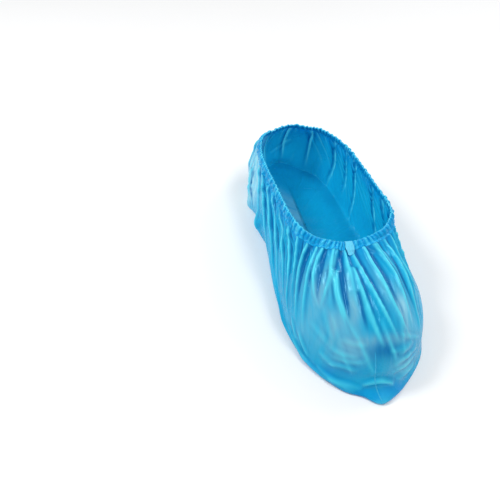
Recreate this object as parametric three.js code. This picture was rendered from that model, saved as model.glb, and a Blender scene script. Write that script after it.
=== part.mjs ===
// A disposable overshoe of thin blue film, as it stands when it is worn: one film bag whose mouth is
// gathered by an elastic band, which runs in a folded casing and is joined under a small tab in front.
// Millimetres. +Z is up and the toe points to -Y. The origin is the middle of the inside of the sole,
// where the sole of the shoe stands.
import * as THREE from "three";

// ---- Driving dimensions ------------------------------------------------------------------------
const WALL = 1.0; // thickness given to the film
const GAP = 0.5; // clearance between neighbouring pieces
const LEAF = 1.0; // thickness of each leaf of the casing
const CASING_DEPTH = 8.0; // how far the casing's leaves reach down over the film
const CASING_CROWN = 4.2; // height of the channel above the film's top edge
const ELASTIC_HEIGHT = 2.8;
const ELASTIC_THICKNESS = 1.0;
const TAB_MIDDLE = -4; // from the toe's middle line, along the mouth's edge
const TAB_HALF_WIDTH = 4.5;
const TAB_LEAF = 0.8;
const TAB_DEPTH_OUTSIDE = 14.0;
const TAB_DEPTH_INSIDE = 3.0;
const TAB_STEPS = 4;
const CROWN_LEAN = 0.6; // share of a leaf by which the channel narrows towards its crown

const SOLE_EDGE = 5.0; // radius with which the film turns under the sole
const AROUND = 120; // steps round the cover
const DOWN = 10; // steps from the mouth to the sole, the first of them under the casing
const FINE = 720; // steps of the measures taken round the cover
const FINE_DOWN = 60; // steps of the measures taken down a wall
const SHORT_STEP = 0.004; // step, in turns and in places, that directions are taken over
const SOLE_SEAM_TOE = -105; // ends of the line along the sole where its two halves meet
const SOLE_SEAM_HEEL = 115;
const PLEATS = 26; // gathers round the mouth
const PLEAT_DEPTH = 1.3;
const PLEAT_FADE = 26; // distance below the casing over which the gathers die away
const TAB_CALM = 11; // half width of the stretch that the tab holds free of gathers

// Upright sections of the outside, one row for each direction in which a section leaves the spine.
// angle: degrees from the toe, turning to +X. spine: where the section leaves the centre line, in Y.
// Each section passes four places, by their reach from the spine and their height over the floor.
const SECTIONS = [
  { name: "toe", angle: 0, spine: -22, rim: [30, 76], shoulder: [82, 68], belly: [124, 40], foot: 136 },
  { name: "toe_inner", angle: 22, spine: -22, rim: [31, 76], shoulder: [73, 67], belly: [109, 38], foot: 121 },
  { name: "corner_inner", angle: 42, spine: -22, rim: [35, 76], shoulder: [61, 64], belly: [89, 36], foot: 92 },
  { name: "ball_inner", angle: 62, spine: -20, rim: [40, 76], shoulder: [53, 61], belly: [67, 32], foot: 67 },
  { name: "joint_inner", angle: 82, spine: -8, rim: [44, 75], shoulder: [50, 57], belly: [57, 29], foot: 54 },
  { name: "waist_inner", angle: 90, spine: 30, rim: [45, 72], shoulder: [49, 54], belly: [53, 26], foot: 46 },
  { name: "side_inner", angle: 92, spine: 75, rim: [44, 69], shoulder: [48, 51], belly: [52, 24], foot: 44 },
  { name: "heel_inner", angle: 120, spine: 98, rim: [40, 66], shoulder: [47, 50], belly: [52, 25], foot: 43 },
  { name: "back_inner", angle: 150, spine: 99, rim: [37, 65], shoulder: [47, 50], belly: [53, 26], foot: 44 },
  { name: "heel", angle: 180, spine: 100, rim: [36, 66], shoulder: [48, 52], belly: [54, 28], foot: 46 },
  { name: "back_outer", angle: 210, spine: 99, rim: [37, 65], shoulder: [48, 50], belly: [54, 26], foot: 46 },
  { name: "heel_outer", angle: 240, spine: 98, rim: [41, 66], shoulder: [49, 50], belly: [54, 25], foot: 46 },
  { name: "side_outer", angle: 268, spine: 75, rim: [46, 70], shoulder: [50, 51], belly: [54, 24], foot: 46 },
  { name: "waist_outer", angle: 270, spine: 30, rim: [46, 73], shoulder: [50, 54], belly: [54, 26], foot: 48 },
  { name: "joint_outer", angle: 278, spine: -8, rim: [45, 76], shoulder: [51, 57], belly: [58, 29], foot: 55 },
  { name: "ball_outer", angle: 298, spine: -20, rim: [40, 76], shoulder: [53, 61], belly: [68, 32], foot: 67 },
  { name: "corner_outer", angle: 318, spine: -22, rim: [35, 76], shoulder: [61, 64], belly: [87, 36], foot: 90 },
  { name: "toe_outer", angle: 338, spine: -22, rim: [31, 76], shoulder: [72, 67], belly: [107, 38], foot: 119 },
];

// Long folds that run on from the gathers, a ridge where height is positive and a valley where it is
// negative. from and to: turns round the cover, from the toe to +X, where the fold starts and ends.
// start and end: distances down the film from its top edge.
const FOLDS = [
  { name: "tab_inner", from: 0.984, to: 1.024, start: 8, end: 94, height: 3.2, width: 5 },
  { name: "tab_inner_valley", from: 1.01, to: 1.03, start: 8, end: 70, height: -1.6, width: 6 },
  { name: "toe_inner", from: 1.042, to: 1.036, start: 8, end: 88, height: 3.0, width: 5.5 },
  { name: "corner_inner", from: 1.084, to: 1.052, start: 8, end: 94, height: 3.2, width: 6 },
  { name: "ball_inner", from: 1.13, to: 1.085, start: 8, end: 88, height: 3.0, width: 6.5 },
  { name: "joint_inner", from: 1.18, to: 1.12, start: 8, end: 84, height: 3.0, width: 7 },
  { name: "arch_inner", from: 1.225, to: 1.175, start: 8, end: 80, height: 2.8, width: 8 },
  { name: "waist_inner", from: 1.27, to: 1.235, start: 8, end: 78, height: 3.0, width: 9 },
  { name: "side_inner", from: 1.32, to: 1.3, start: 8, end: 80, height: 3.0, width: 9 },
  { name: "heel_inner", from: 1.37, to: 1.37, start: 8, end: 70, height: 2.6, width: 9 },
  { name: "back_inner", from: 1.43, to: 1.44, start: 8, end: 60, height: 2.4, width: 8 },
  { name: "heel_fold", from: 1.49, to: 1.5, start: 8, end: 64, height: 2.4, width: 8 },
  { name: "back_outer", from: 1.55, to: 1.54, start: 8, end: 60, height: 2.4, width: 8 },
  { name: "heel_outer", from: 1.6, to: 1.62, start: 8, end: 60, height: 2.6, width: 8 },
  { name: "slack_heel_outer", from: 1.64, to: 1.652, start: 18, end: 92, height: 4.2, width: 13 },
  { name: "side_outer", from: 1.68, to: 1.71, start: 8, end: 76, height: 3.0, width: 8 },
  { name: "waist_outer", from: 1.71, to: 1.76, start: 8, end: 80, height: 3.0, width: 8 },
  { name: "arch_outer", from: 1.745, to: 1.83, start: 8, end: 92, height: 3.2, width: 7 },
  { name: "joint_outer", from: 1.782, to: 1.875, start: 8, end: 92, height: 3.2, width: 6.5 },
  { name: "ball_outer", from: 1.832, to: 1.894, start: 8, end: 88, height: 3.0, width: 6 },
  { name: "pocket_outer_side", from: 1.872, to: 1.918, start: 8, end: 62, height: 3.2, width: 5.5 },
  { name: "pocket", from: 1.898, to: 1.92, start: 8, end: 62, height: -3.0, width: 7 },
  { name: "pocket_toe_side", from: 1.924, to: 1.928, start: 8, end: 66, height: 3.0, width: 5.5 },
  { name: "toe_outer", from: 1.94, to: 1.968, start: 30, end: 84, height: 2.6, width: 6 },
  { name: "tab_outer", from: 1.968, to: 1.998, start: 8, end: 94, height: 2.8, width: 5.5 },
];

// The flattened corners of the bag that stand out past the shoe, low on the toe and the heel.
const EARS = [
  { at: 0, reach: 14, halfWidth: 15, height: 10 },
  { at: 0.5, reach: 8, halfWidth: 13, height: 11 },
];

// ---- The outside of the film -------------------------------------------------------------------
const PLACES = SECTIONS.length;
const PROFILE_END = 3; // rim 0, shoulder 1, belly 2, foot 3

// Catmull-Rom through four equally spaced values, from b at f = 0 to c at f = 1.
function through(a, b, c, d, f) {
  return 0.5 * (2 * b + (c - a) * f + (2 * a - 5 * b + 4 * c - d) * f * f + (3 * b - a - 3 * c + d) * f ** 3);
}

// One value of the section table, read round the cover. turn runs from 0 to 1.
function roundTable(read, turn) {
  const place = (((turn % 1) + 1) % 1) * PLACES;
  const row = Math.floor(place);
  const at = (k) => read(SECTIONS[(row + k + PLACES) % PLACES]);
  return through(at(-1), at(0), at(1), at(2), place - row);
}

// The section at a turn: where it leaves the spine, which way it heads, and its four places.
function sectionAt(turn) {
  const radians = (row) => THREE.MathUtils.degToRad(row.angle);
  const heading = new THREE.Vector2(
    roundTable((row) => Math.sin(radians(row)), turn),
    roundTable((row) => -Math.cos(radians(row)), turn),
  ).normalize();
  const spine = roundTable((row) => row.spine, turn);
  const places = ["rim", "shoulder", "belly"].map((name) => [
    roundTable((row) => row[name][0], turn),
    roundTable((row) => row[name][1], turn),
  ]);
  places.push([roundTable((row) => row.foot, turn), 0]);
  return { heading, spine, places };
}

// A place on a section's smooth profile: its reach from the spine and its height over the floor.
function alongProfile(places, t) {
  const last = places.length - 1;
  const row = Math.min(Math.floor(t), last - 1);
  const beyond = (k, end, next) => (k < 0 || k > last ? end.map((v, i) => 2 * v - next[i]) : places[k]);
  const before = beyond(row - 1, places[0], places[1]);
  const after = beyond(row + 2, places[last], places[last - 1]);
  return [0, 1].map((i) => through(before[i], places[row][i], places[row + 1][i], after[i], t - row));
}

// A point on the smooth outside, before it is pleated.
function smoothPoint(turn, t) {
  const { heading, spine, places } = sectionAt(turn);
  const [reach, height] = alongProfile(places, t);
  return new THREE.Vector3(reach * heading.x, spine + reach * heading.y, height - WALL);
}

// The outward direction there, and the length round the film, a turn, from short steps over it.
function directionsAt(turn, t) {
  const low = Math.max(t - SHORT_STEP, 0);
  const high = Math.min(t + SHORT_STEP, PROFILE_END);
  const down = smoothPoint(turn, high).sub(smoothPoint(turn, low));
  const round = smoothPoint(turn + SHORT_STEP / 2, t).sub(smoothPoint(turn - SHORT_STEP / 2, t));
  return { outward: down.cross(round).normalize(), perTurn: round.length() / SHORT_STEP };
}

// ---- Measures round the rim and down the wall --------------------------------------------------
const rimLengths = [0];
const evenLengths = [0]; // half rim and half belly, so that steps suit both
for (let i = 1; i <= FINE; i++) {
  const rimStep = smoothPoint(i / FINE, 0).distanceTo(smoothPoint((i - 1) / FINE, 0));
  const bellyStep = smoothPoint(i / FINE, 2).distanceTo(smoothPoint((i - 1) / FINE, 2));
  rimLengths.push(rimLengths[i - 1] + rimStep);
  evenLengths.push(evenLengths[i - 1] + (rimStep + bellyStep) / 2);
}
const RIM_LENGTH = rimLengths[FINE];

const HAIR = 1e-9; // allowance for rounding

// The first row, from 1, of a rising list of lengths that reaches a length.
const firstAtLeast = (lengths, wanted) => Math.max(1, lengths.findIndex((length) => length >= wanted - HAIR));

// The share of the rim's length that lies before a turn.
function rimShare(turn) {
  const place = THREE.MathUtils.clamp(turn, 0, 1) * FINE;
  const row = Math.min(Math.floor(place), FINE - 1);
  return THREE.MathUtils.lerp(rimLengths[row], rimLengths[row + 1], place - row) / RIM_LENGTH;
}

// The turns of the steps round the cover, mirrored so that both halves meet along the sole.
function evenTurns() {
  const turns = [];
  for (let i = 0; i <= AROUND / 2; i++) {
    const wanted = (evenLengths[FINE] * i) / AROUND;
    const row = firstAtLeast(evenLengths, wanted);
    const part = (wanted - evenLengths[row - 1]) / (evenLengths[row] - evenLengths[row - 1]);
    turns.push(i === AROUND / 2 ? 0.5 : (row - 1 + part) / FINE);
  }
  for (let i = AROUND / 2 + 1; i < AROUND; i++) turns.push(1 - turns[AROUND - i]);
  return turns;
}
const TURNS = evenTurns();

// How far apart two shares of the rim are, the short way round.
const apart = (a, b) => Math.abs(((((a - b) % 1) + 1.5) % 1) - 0.5);
const bell = (x) => Math.exp(-x * x);

// ---- Pleats, folds and ears --------------------------------------------------------------------
// The gathers round the mouth: uneven in their width and height, and lost below the casing.
function gatherHeight(share, below) {
  const angle = 2 * Math.PI * share;
  const uneven = 0.8 + 0.2 * Math.cos(5 * angle) + 0.15 * Math.sin(3 * angle);
  const phase = PLEATS * angle + 1.3 * Math.sin(3 * angle) + 0.9 * Math.sin(7 * angle);
  return PLEAT_DEPTH * uneven * Math.cos(phase) * Math.exp(-below / PLEAT_FADE);
}

// How far the film stands out of its smooth form. perTurn: the length round the film there, a turn.
function pleatHeight(turn, share, distance, perTurn) {
  const below = Math.max(distance - CASING_DEPTH, 0);
  let height = gatherHeight(share, below);
  for (const fold of FOLDS) {
    const along = (distance - fold.start) / (fold.end - fold.start);
    if (along <= 0 || along >= 1) continue;
    const off = apart(turn, THREE.MathUtils.lerp(fold.from, fold.to, along)) * perTurn;
    height += fold.height * bell(off / fold.width) * Math.sin(Math.PI * along);
  }
  const fromTab = apart(share, TAB_MIDDLE / RIM_LENGTH) * RIM_LENGTH;
  return height * (1 - bell(fromTab / TAB_CALM) * Math.exp(-below / PLEAT_FADE));
}

// How far an ear pushes the film out along its section, at a share of the rim and a height.
function earReach(share, height) {
  let reach = 0;
  for (const ear of EARS) {
    const off = (apart(share, ear.at) * RIM_LENGTH) / ear.halfWidth;
    reach += ear.reach * bell(off) * bell(height / ear.height);
  }
  return reach;
}

// How far the film has turned in under the sole, at a height over the floor.
function edgeInset(height) {
  const left = SOLE_EDGE - THREE.MathUtils.clamp(height, 0, SOLE_EDGE);
  return SOLE_EDGE - Math.sqrt(SOLE_EDGE ** 2 - left ** 2);
}

// A wall section ready for lofting: its places from the mouth to the foot, each with its outside
// point and its outward direction, evenly spaced along the profile.
function wallSection(turn) {
  const tStep = PROFILE_END / FINE_DOWN;
  const lengths = [0];
  for (let i = 1; i <= FINE_DOWN; i++) {
    const step = smoothPoint(turn, tStep * i).distanceTo(smoothPoint(turn, tStep * (i - 1)));
    lengths.push(lengths[i - 1] + step);
  }
  const tAt = (distance) => {
    const row = firstAtLeast(lengths, distance);
    return tStep * (row - 1 + (distance - lengths[row - 1]) / (lengths[row] - lengths[row - 1]));
  };
  return { turn, share: rimShare(turn), length: lengths[FINE_DOWN], tAt };
}

// A point at a distance down a wall section and a distance out of the film's outside.
function wallPoint(wall, distance, out = 0) {
  const t = wall.tAt(Math.max(distance, 0));
  const { outward, perTurn } = directionsAt(wall.turn, t);
  const point = smoothPoint(wall.turn, t);
  if (distance < 0) {
    const up = point.clone().sub(smoothPoint(wall.turn, wall.tAt(1))).normalize();
    point.addScaledVector(up, -distance);
  }
  const { heading } = sectionAt(wall.turn);
  const height = point.z + WALL;
  const reach = earReach(wall.share, height) - edgeInset(height);
  point.add(new THREE.Vector3(heading.x, heading.y, 0).multiplyScalar(reach));
  const stand = pleatHeight(wall.turn, wall.share, distance, perTurn) + out;
  return point.addScaledVector(outward, stand);
}

const WALLS = TURNS.map(wallSection);

// ---- Making closed solids ----------------------------------------------------------------------
function solid(points, faces) {
  const geometry = new THREE.BufferGeometry();
  geometry.setAttribute("position", new THREE.Float32BufferAttribute(points.flatMap((p) => p.toArray()), 3));
  geometry.setIndex(faces.flat());
  geometry.computeVertexNormals();
  return geometry;
}

// Joins closed loops of points into a tube. ring: the last loop joins the first; otherwise both ends
// are capped by the flat outline that all loops share.
function loft(loops, ring, outline) {
  const size = loops[0].length;
  const faces = [];
  const spans = ring ? loops.length : loops.length - 1;
  for (let i = 0; i < spans; i++) {
    const next = ((i + 1) % loops.length) * size;
    for (let k = 0; k < size; k++) {
      const k2 = (k + 1) % size;
      faces.push([i * size + k, next + k, next + k2], [i * size + k, next + k2, i * size + k2]);
    }
  }
  if (!ring) {
    const end = (loops.length - 1) * size;
    for (const [a, b, c] of THREE.ShapeUtils.triangulateShape(outline, [])) {
      faces.push([a, b, c], [end + a, end + c, end + b]);
    }
  }
  return solid(loops.flat(), faces);
}

// ---- The film bag ------------------------------------------------------------------------------
// Outside and inside share one grid: the wall from the mouth to the foot, then the sole, which closes
// along the spine, where the two halves of each row meet in one point.
function filmBag() {
  const points = [];
  const faces = [];
  const row = DOWN + 1;
  const open = (wall) => wall.length - CASING_DEPTH - SOLE_EDGE;
  const distanceAt = (wall, j) => (j === 0 ? 0 : CASING_DEPTH + (open(wall) * (j - 1)) / (DOWN - 2));
  const spinePoints = AROUND / 2 + 1;
  const layer = AROUND * row + spinePoints;
  const onWall = (side, i, j) => side * layer + (i % AROUND) * row + j;
  const onSpine = (side, i) => side * layer + AROUND * row + Math.min(i % AROUND, AROUND - (i % AROUND));
  for (const side of [0, 1]) {
    for (const wall of WALLS) {
      const { heading } = sectionAt(wall.turn);
      for (let j = 0; j < DOWN; j++) points.push(wallPoint(wall, distanceAt(wall, j), -side * WALL));
      const foot = wallPoint(wall, wall.length);
      foot.x -= side * WALL * heading.x;
      foot.y -= side * WALL * heading.y;
      foot.z = -WALL + side * WALL;
      points.push(foot);
    }
    for (let i = 0; i < spinePoints; i++) {
      const y = THREE.MathUtils.lerp(SOLE_SEAM_TOE, SOLE_SEAM_HEEL, i / (spinePoints - 1));
      points.push(new THREE.Vector3(0, y, -WALL + side * WALL));
    }
  }
  const face = (side, a, b, c) => faces.push(side ? [a, c, b] : [a, b, c]);
  for (let i = 0; i < AROUND; i++) {
    for (const side of [0, 1]) {
      for (let j = 0; j < DOWN; j++) {
        face(side, onWall(side, i, j), onWall(side, i, j + 1), onWall(side, i + 1, j + 1));
        face(side, onWall(side, i, j), onWall(side, i + 1, j + 1), onWall(side, i + 1, j));
      }
      const [a, b] = [onSpine(side, i), onSpine(side, i + 1)];
      face(side, onWall(side, i, DOWN), b, onWall(side, i + 1, DOWN));
      if (a !== b) face(side, onWall(side, i, DOWN), a, b);
    }
    faces.push([onWall(0, i, 0), onWall(0, i + 1, 0), onWall(1, i + 1, 0)]);
    faces.push([onWall(0, i, 0), onWall(1, i + 1, 0), onWall(1, i, 0)]);
  }
  return solid(points, faces);
}

// ---- The casing, its elastic and its tab -------------------------------------------------------
// A folded strip over an edge, as [distance down the wall, distance out of the film's outside]. It
// clears whatever lies from inside to outside, and its crown clears the height given.
function foldedOutline(outside, inside, crown, leaf, depthOutside, depthInside) {
  const middle = (outside + inside) / 2;
  return [
    [depthOutside, outside + leaf],
    [0, outside + leaf],
    [-crown, outside + CROWN_LEAN * leaf],
    [-crown - leaf, middle],
    [-crown, inside - CROWN_LEAN * leaf],
    [0, inside - leaf],
    [depthInside, inside - leaf],
    [depthInside, inside],
    [0, inside],
    [-crown, inside],
    [-crown, outside],
    [0, outside],
    [depthOutside, outside],
  ];
}

const loopOf = (outline) => (wall) => outline.map(([distance, out]) => wallPoint(wall, distance, out));
const flat = (outline) => outline.map(([distance, out]) => new THREE.Vector2(distance, out));

const CASING_OUTLINE = foldedOutline(GAP, -WALL - GAP, CASING_CROWN, LEAF, CASING_DEPTH, CASING_DEPTH);

function elasticCasing() {
  return loft(WALLS.map(loopOf(CASING_OUTLINE)), true);
}

function elasticBand() {
  const top = -GAP - ELASTIC_HEIGHT;
  const inner = -(WALL + ELASTIC_THICKNESS) / 2;
  const outer = inner + ELASTIC_THICKNESS;
  const outline = [[-GAP, outer], [top, outer], [top, inner], [-GAP, inner]];
  return loft(WALLS.map(loopOf(outline)), true);
}

function joinTab() {
  const outside = 2 * GAP + LEAF;
  const outline = foldedOutline(
    outside,
    -WALL - outside,
    CASING_CROWN + LEAF + GAP,
    TAB_LEAF,
    TAB_DEPTH_OUTSIDE,
    TAB_DEPTH_INSIDE,
  );
  const loops = [];
  for (let i = 0; i <= TAB_STEPS; i++) {
    const across = TAB_MIDDLE + THREE.MathUtils.lerp(-TAB_HALF_WIDTH, TAB_HALF_WIDTH, i / TAB_STEPS);
    const along = THREE.MathUtils.euclideanModulo(across, RIM_LENGTH);
    const row = firstAtLeast(rimLengths, along);
    const part = (along - rimLengths[row - 1]) / (rimLengths[row] - rimLengths[row - 1]);
    loops.push(loopOf(outline)(wallSection((row - 1 + part) / FINE)));
  }
  return loft(loops, false, flat(outline));
}

// ---- The assembly ------------------------------------------------------------------------------
const film = new THREE.MeshStandardMaterial({ color: 0x1aa6ea, roughness: 0.34, metalness: 0 });
const hemFilm = new THREE.MeshStandardMaterial({ color: 0x0f8fe0, roughness: 0.38, metalness: 0 });
const rubber = new THREE.MeshStandardMaterial({ color: 0xd8e6ee, roughness: 0.7, metalness: 0 });

function piece(name, geometry, material) {
  const mesh = new THREE.Mesh(geometry, material);
  mesh.name = name;
  return mesh;
}

const shoeCover = new THREE.Group();
shoeCover.add(piece("film_bag", filmBag(), film));
shoeCover.add(piece("elastic_casing", elasticCasing(), hemFilm));
shoeCover.add(piece("elastic_band", elasticBand(), rubber));
shoeCover.add(piece("join_tab", joinTab(), hemFilm));

export default shoeCover;
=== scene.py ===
"""A disposable shoe cover of thin blue film in its worn form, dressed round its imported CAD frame.

The film bag is a smooth worn form with the gathers and long folds of its gathered mouth, which then
settles as simulated film over a shoe-shaped inner form. The casing, the elastic, the join tab and the
welded seams follow the settled film.
"""

import logging
import math
from dataclasses import dataclass, field
from enum import Enum

import bpy
import numpy as np
from mathutils import Matrix, Vector


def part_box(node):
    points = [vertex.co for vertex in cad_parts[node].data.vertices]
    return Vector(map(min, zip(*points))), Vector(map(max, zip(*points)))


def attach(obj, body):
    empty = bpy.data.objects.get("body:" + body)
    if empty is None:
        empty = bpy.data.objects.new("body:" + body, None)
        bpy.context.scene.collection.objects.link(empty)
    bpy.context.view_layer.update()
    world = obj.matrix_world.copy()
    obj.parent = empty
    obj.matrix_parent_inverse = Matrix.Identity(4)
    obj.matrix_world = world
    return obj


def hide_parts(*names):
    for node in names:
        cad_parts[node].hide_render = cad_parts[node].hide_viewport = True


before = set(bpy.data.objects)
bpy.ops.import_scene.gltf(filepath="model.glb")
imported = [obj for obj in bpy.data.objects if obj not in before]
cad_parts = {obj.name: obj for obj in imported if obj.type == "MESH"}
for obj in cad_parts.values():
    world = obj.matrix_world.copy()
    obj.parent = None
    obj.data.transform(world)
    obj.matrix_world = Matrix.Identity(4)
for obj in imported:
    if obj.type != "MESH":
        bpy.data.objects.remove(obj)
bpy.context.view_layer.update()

log = logging.getLogger("shoe_cover")

Array = np.ndarray
Colour = tuple[float, float, float]

FORM_LENGTH = 324.0  # length of the cover in the units of the tables below, nominally millimetres
FOLD_START = 0.05  # share of a long fold's length over which it rises
ROUND = 0.1  # radius, in metres, on which the film's own places are laid out for its finish


# ---- The worn form -----------------------------------------------------------------------------


class Place(Enum):
    """Where a line down the film passes, from the mouth to the sole."""

    RIM = 0
    SHOULDER = 1
    BELLY = 2
    FOOT = 3


class Tone(Enum):
    """How the film's colour shifts in a place, by the name of the mask that its finish reads: painted
    shade, painted highlight, a shoe tint with painted sheen, a painted glow, and film lying double.
    """

    # painted shade: darker in the valleys and just past the steep side of each fold
    PAINTED_SHADE = "deep"
    # painted highlight: paler along the crests of the folds
    PAINTED_HIGHLIGHT = "crest"
    # a greyish tint of a shoe seen through stretched film, with a painted sheen of soft reflected light
    SHOE_TINT_AND_SHEEN = "taut"
    # painted glow: paler where light would shine through loose film, and painted light where the toe's
    # right side would be lit brighter
    THIN = "thin"
    # film lying double, a deeper blue of its own
    DOUBLE = "double"


@dataclass(frozen=True)
class Section:
    """An upright section of the cover, which leaves the centre line in one direction.

    The heading is in degrees from the toe, turning to +X. Each place is its reach from the centre
    line and its height over the floor.
    """

    name: str
    heading: float
    spine_y: float
    rim: tuple[float, float]
    shoulder: tuple[float, float]
    belly: tuple[float, float]
    foot: float


SECTIONS = (
    Section("toe", 0, -22, (31, 74.5), (82, 68), (124, 40), 136),
    Section("toe_inner", 22, -22, (32, 74.8), (73, 67), (109, 38), 121),
    Section("corner_inner", 42, -22, (35, 76), (61, 64), (89, 36), 92),
    Section("ball_inner", 62, -20, (40, 76), (53, 61), (67, 32), 67),
    Section("joint_inner", 82, -8, (47, 75), (53, 57), (57, 29), 54),
    Section("waist_inner", 90, 30, (49, 72), (52, 54), (53, 26), 46),
    Section("quarter_inner", 92, 75, (47, 69), (50, 51), (52, 24), 44),
    Section("heel_inner", 120, 98, (40, 66), (47, 50), (52, 25), 43),
    Section("counter_inner", 150, 99, (37, 65), (47, 50), (53, 26), 44),
    Section("heel", 180, 100, (36, 66), (48, 52), (54, 28), 46),
    Section("counter_outer", 210, 99, (37, 65), (48, 50), (54, 26), 46),
    Section("heel_outer", 240, 98, (41, 66), (49, 50), (54, 25), 46),
    Section("quarter_outer", 268, 75, (46, 70), (50, 51), (54, 24), 46),
    Section("waist_outer", 270, 30, (46, 73), (50, 54), (54, 26), 48),
    Section("joint_outer", 278, -8, (45, 76), (51, 57), (58, 29), 55),
    Section("ball_outer", 298, -20, (40, 76), (53, 61), (68, 32), 67),
    Section("corner_outer", 318, -22, (35, 76), (61, 64), (87, 36), 90),
    Section("toe_outer", 338, -22, (32, 74.8), (72, 67), (107, 38), 119),
)


@dataclass(frozen=True)
class Fold:
    """A long fold: a ridge where its height is positive, a valley where it is negative.

    It runs from one turn round the cover to another (0 is the toe, turning to +X), between two
    distances down the film, and bows sideways by the turn given.
    """

    from_turn: float
    to_turn: float
    start: float
    end: float
    height: float
    width: float
    bow: float = 0.0

    def read(self, grid: "FilmGrid", per_turn: Array) -> tuple[Array, Array]:
        """Reads where the film lies against the fold.

        Args:
            grid: The film.
            per_turn: The length of one turn at every point.

        Returns:
            How far past the fold's line each point is, and how fully the fold is drawn there.
        """
        along = np.clip((grid.distance - self.start) / (self.end - self.start), 0.0, 1.0)
        place = self.from_turn + (self.to_turn - self.from_turn) * along
        place = place + self.bow * np.sin(math.pi * along)
        drawn = np.sin(math.pi * along**0.5) * smoothstep(along / FOLD_START)
        return turn_from(grid.turn, place) * per_turn, drawn


FOLDS = (
    Fold(0.984, 1.018, 2, 98, 4.5, 2.7),
    Fold(0.994, 1.008, 2, 64, -2.4, 2.8, -0.002),
    Fold(1.025, 1.034, 2, 98, 3.8, 2.7, -0.008),
    Fold(1.038, 1.034, 12, 76, -2.0, 2.5, -0.005),
    Fold(1.062, 1.040, 2, 88, 3.7, 2.7, -0.003),
    Fold(1.074, 1.054, 3, 50, 2.6, 2.1),
    Fold(1.114, 1.053, 3, 100, 3.8, 3.0, -0.014),
    Fold(1.084, 1.058, 20, 80, -2.0, 2.7, -0.009),
    Fold(1.146, 1.074, 3, 70, 3.0, 3.0, -0.009),
    Fold(1.180, 1.110, 2, 88, 3.4, 3.8),
    Fold(1.225, 1.165, 2, 80, 4.2, 4.0),
    Fold(1.250, 1.200, 2, 60, 2.9, 3.2),
    Fold(1.275, 1.235, 2, 78, 4.1, 4.2),
    Fold(1.320, 1.300, 2, 76, 4.1, 4.2),
    Fold(1.345, 1.335, 2, 60, 2.9, 3.2),
    Fold(1.370, 1.370, 2, 72, 3.7, 4.4),
    Fold(1.430, 1.440, 2, 64, 3.4, 4.4),
    Fold(1.490, 1.500, 2, 66, 3.4, 4.4),
    Fold(1.550, 1.540, 2, 64, 3.4, 4.4),
    Fold(1.600, 1.620, 2, 62, 2.2, 4.4),
    Fold(1.625, 1.640, 2, 58, 1.6, 3.0),
    Fold(1.640, 1.668, 12, 76, 2.6, 5.7),
    Fold(1.660, 1.706, 2, 66, 3.0, 3.2),
    Fold(1.680, 1.752, 2, 76, 4.4, 3.4),
    Fold(1.700, 1.792, 2, 74, 3.6, 2.8),
    Fold(1.718, 1.832, 2, 80, 3.4, 3.2),
    Fold(1.738, 1.866, 2, 82, 3.6, 3.0, 0.003),
    Fold(1.760, 1.868, 2, 68, -2.4, 2.7),
    Fold(1.776, 1.885, 2, 88, 4.0, 4.0, 0.004),
    Fold(1.806, 1.874, 2, 64, 3.2, 2.7, 0.002),
    Fold(1.821, 1.888, 2, 72, -2.4, 2.5, 0.005),
    Fold(1.838, 1.896, 2, 80, 3.8, 2.8, 0.002),
    Fold(1.850, 1.888, 2, 62, -2.6, 2.5, 0.001),
    Fold(1.868, 1.911, 2, 86, 3.6, 4.2, 0.002),
    Fold(1.889, 1.924, 2, 60, 3.4, 2.5, -0.008),
    Fold(1.900, 1.920, 2, 58, -3.6, 4.0),
    Fold(1.923, 1.925, 2, 62, 3.4, 2.5, 0.006),
    Fold(1.939, 1.943, 2, 60, 2.5, 2.7, -0.006),
    Fold(1.936, 1.966, 24, 84, 2.5, 2.5, 0.002),
    Fold(1.944, 1.973, 24, 86, 3.3, 2.8, -0.002),
    Fold(1.951, 1.967, 2, 78, -3.3, 3.0),
    Fold(1.962, 1.976, 2, 62, 2.8, 3.0),
    Fold(1.976, 1.997, 22, 94, 4.2, 2.8),
    Fold(1.979, 1.985, 46, 88, -2.1, 2.7),
)


@dataclass(frozen=True)
class Crease:
    """A short sharp crease that runs from one place on the film to another.

    Each end is a turn round the cover and a distance down the film. It bows down the film by the
    length given.
    """

    start: tuple[float, float]
    end: tuple[float, float]
    height: float
    width: float
    bow: float = 0.0

    def read(self, grid: "FilmGrid", per_turn: Array) -> tuple[Array, Array]:
        """Reads where the film lies against the crease.

        Args:
            grid: The film.
            per_turn: The length of one turn at every point.

        Returns:
            How far from the crease's line each point is, and how fully the crease is drawn there.
        """
        run = turn_from(self.end[0], self.start[0]) * per_turn
        drop = self.end[1] - self.start[1]
        across = turn_from(grid.turn, self.start[0]) * per_turn
        down = grid.distance - self.start[1]
        along = np.clip((across * run + down * drop) / (run**2 + drop**2), 0.0, 1.0)
        arch = np.sin(math.pi * along)
        off = np.hypot(across - along * run, down - along * drop - self.bow * arch)
        return off, arch**0.5


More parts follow.
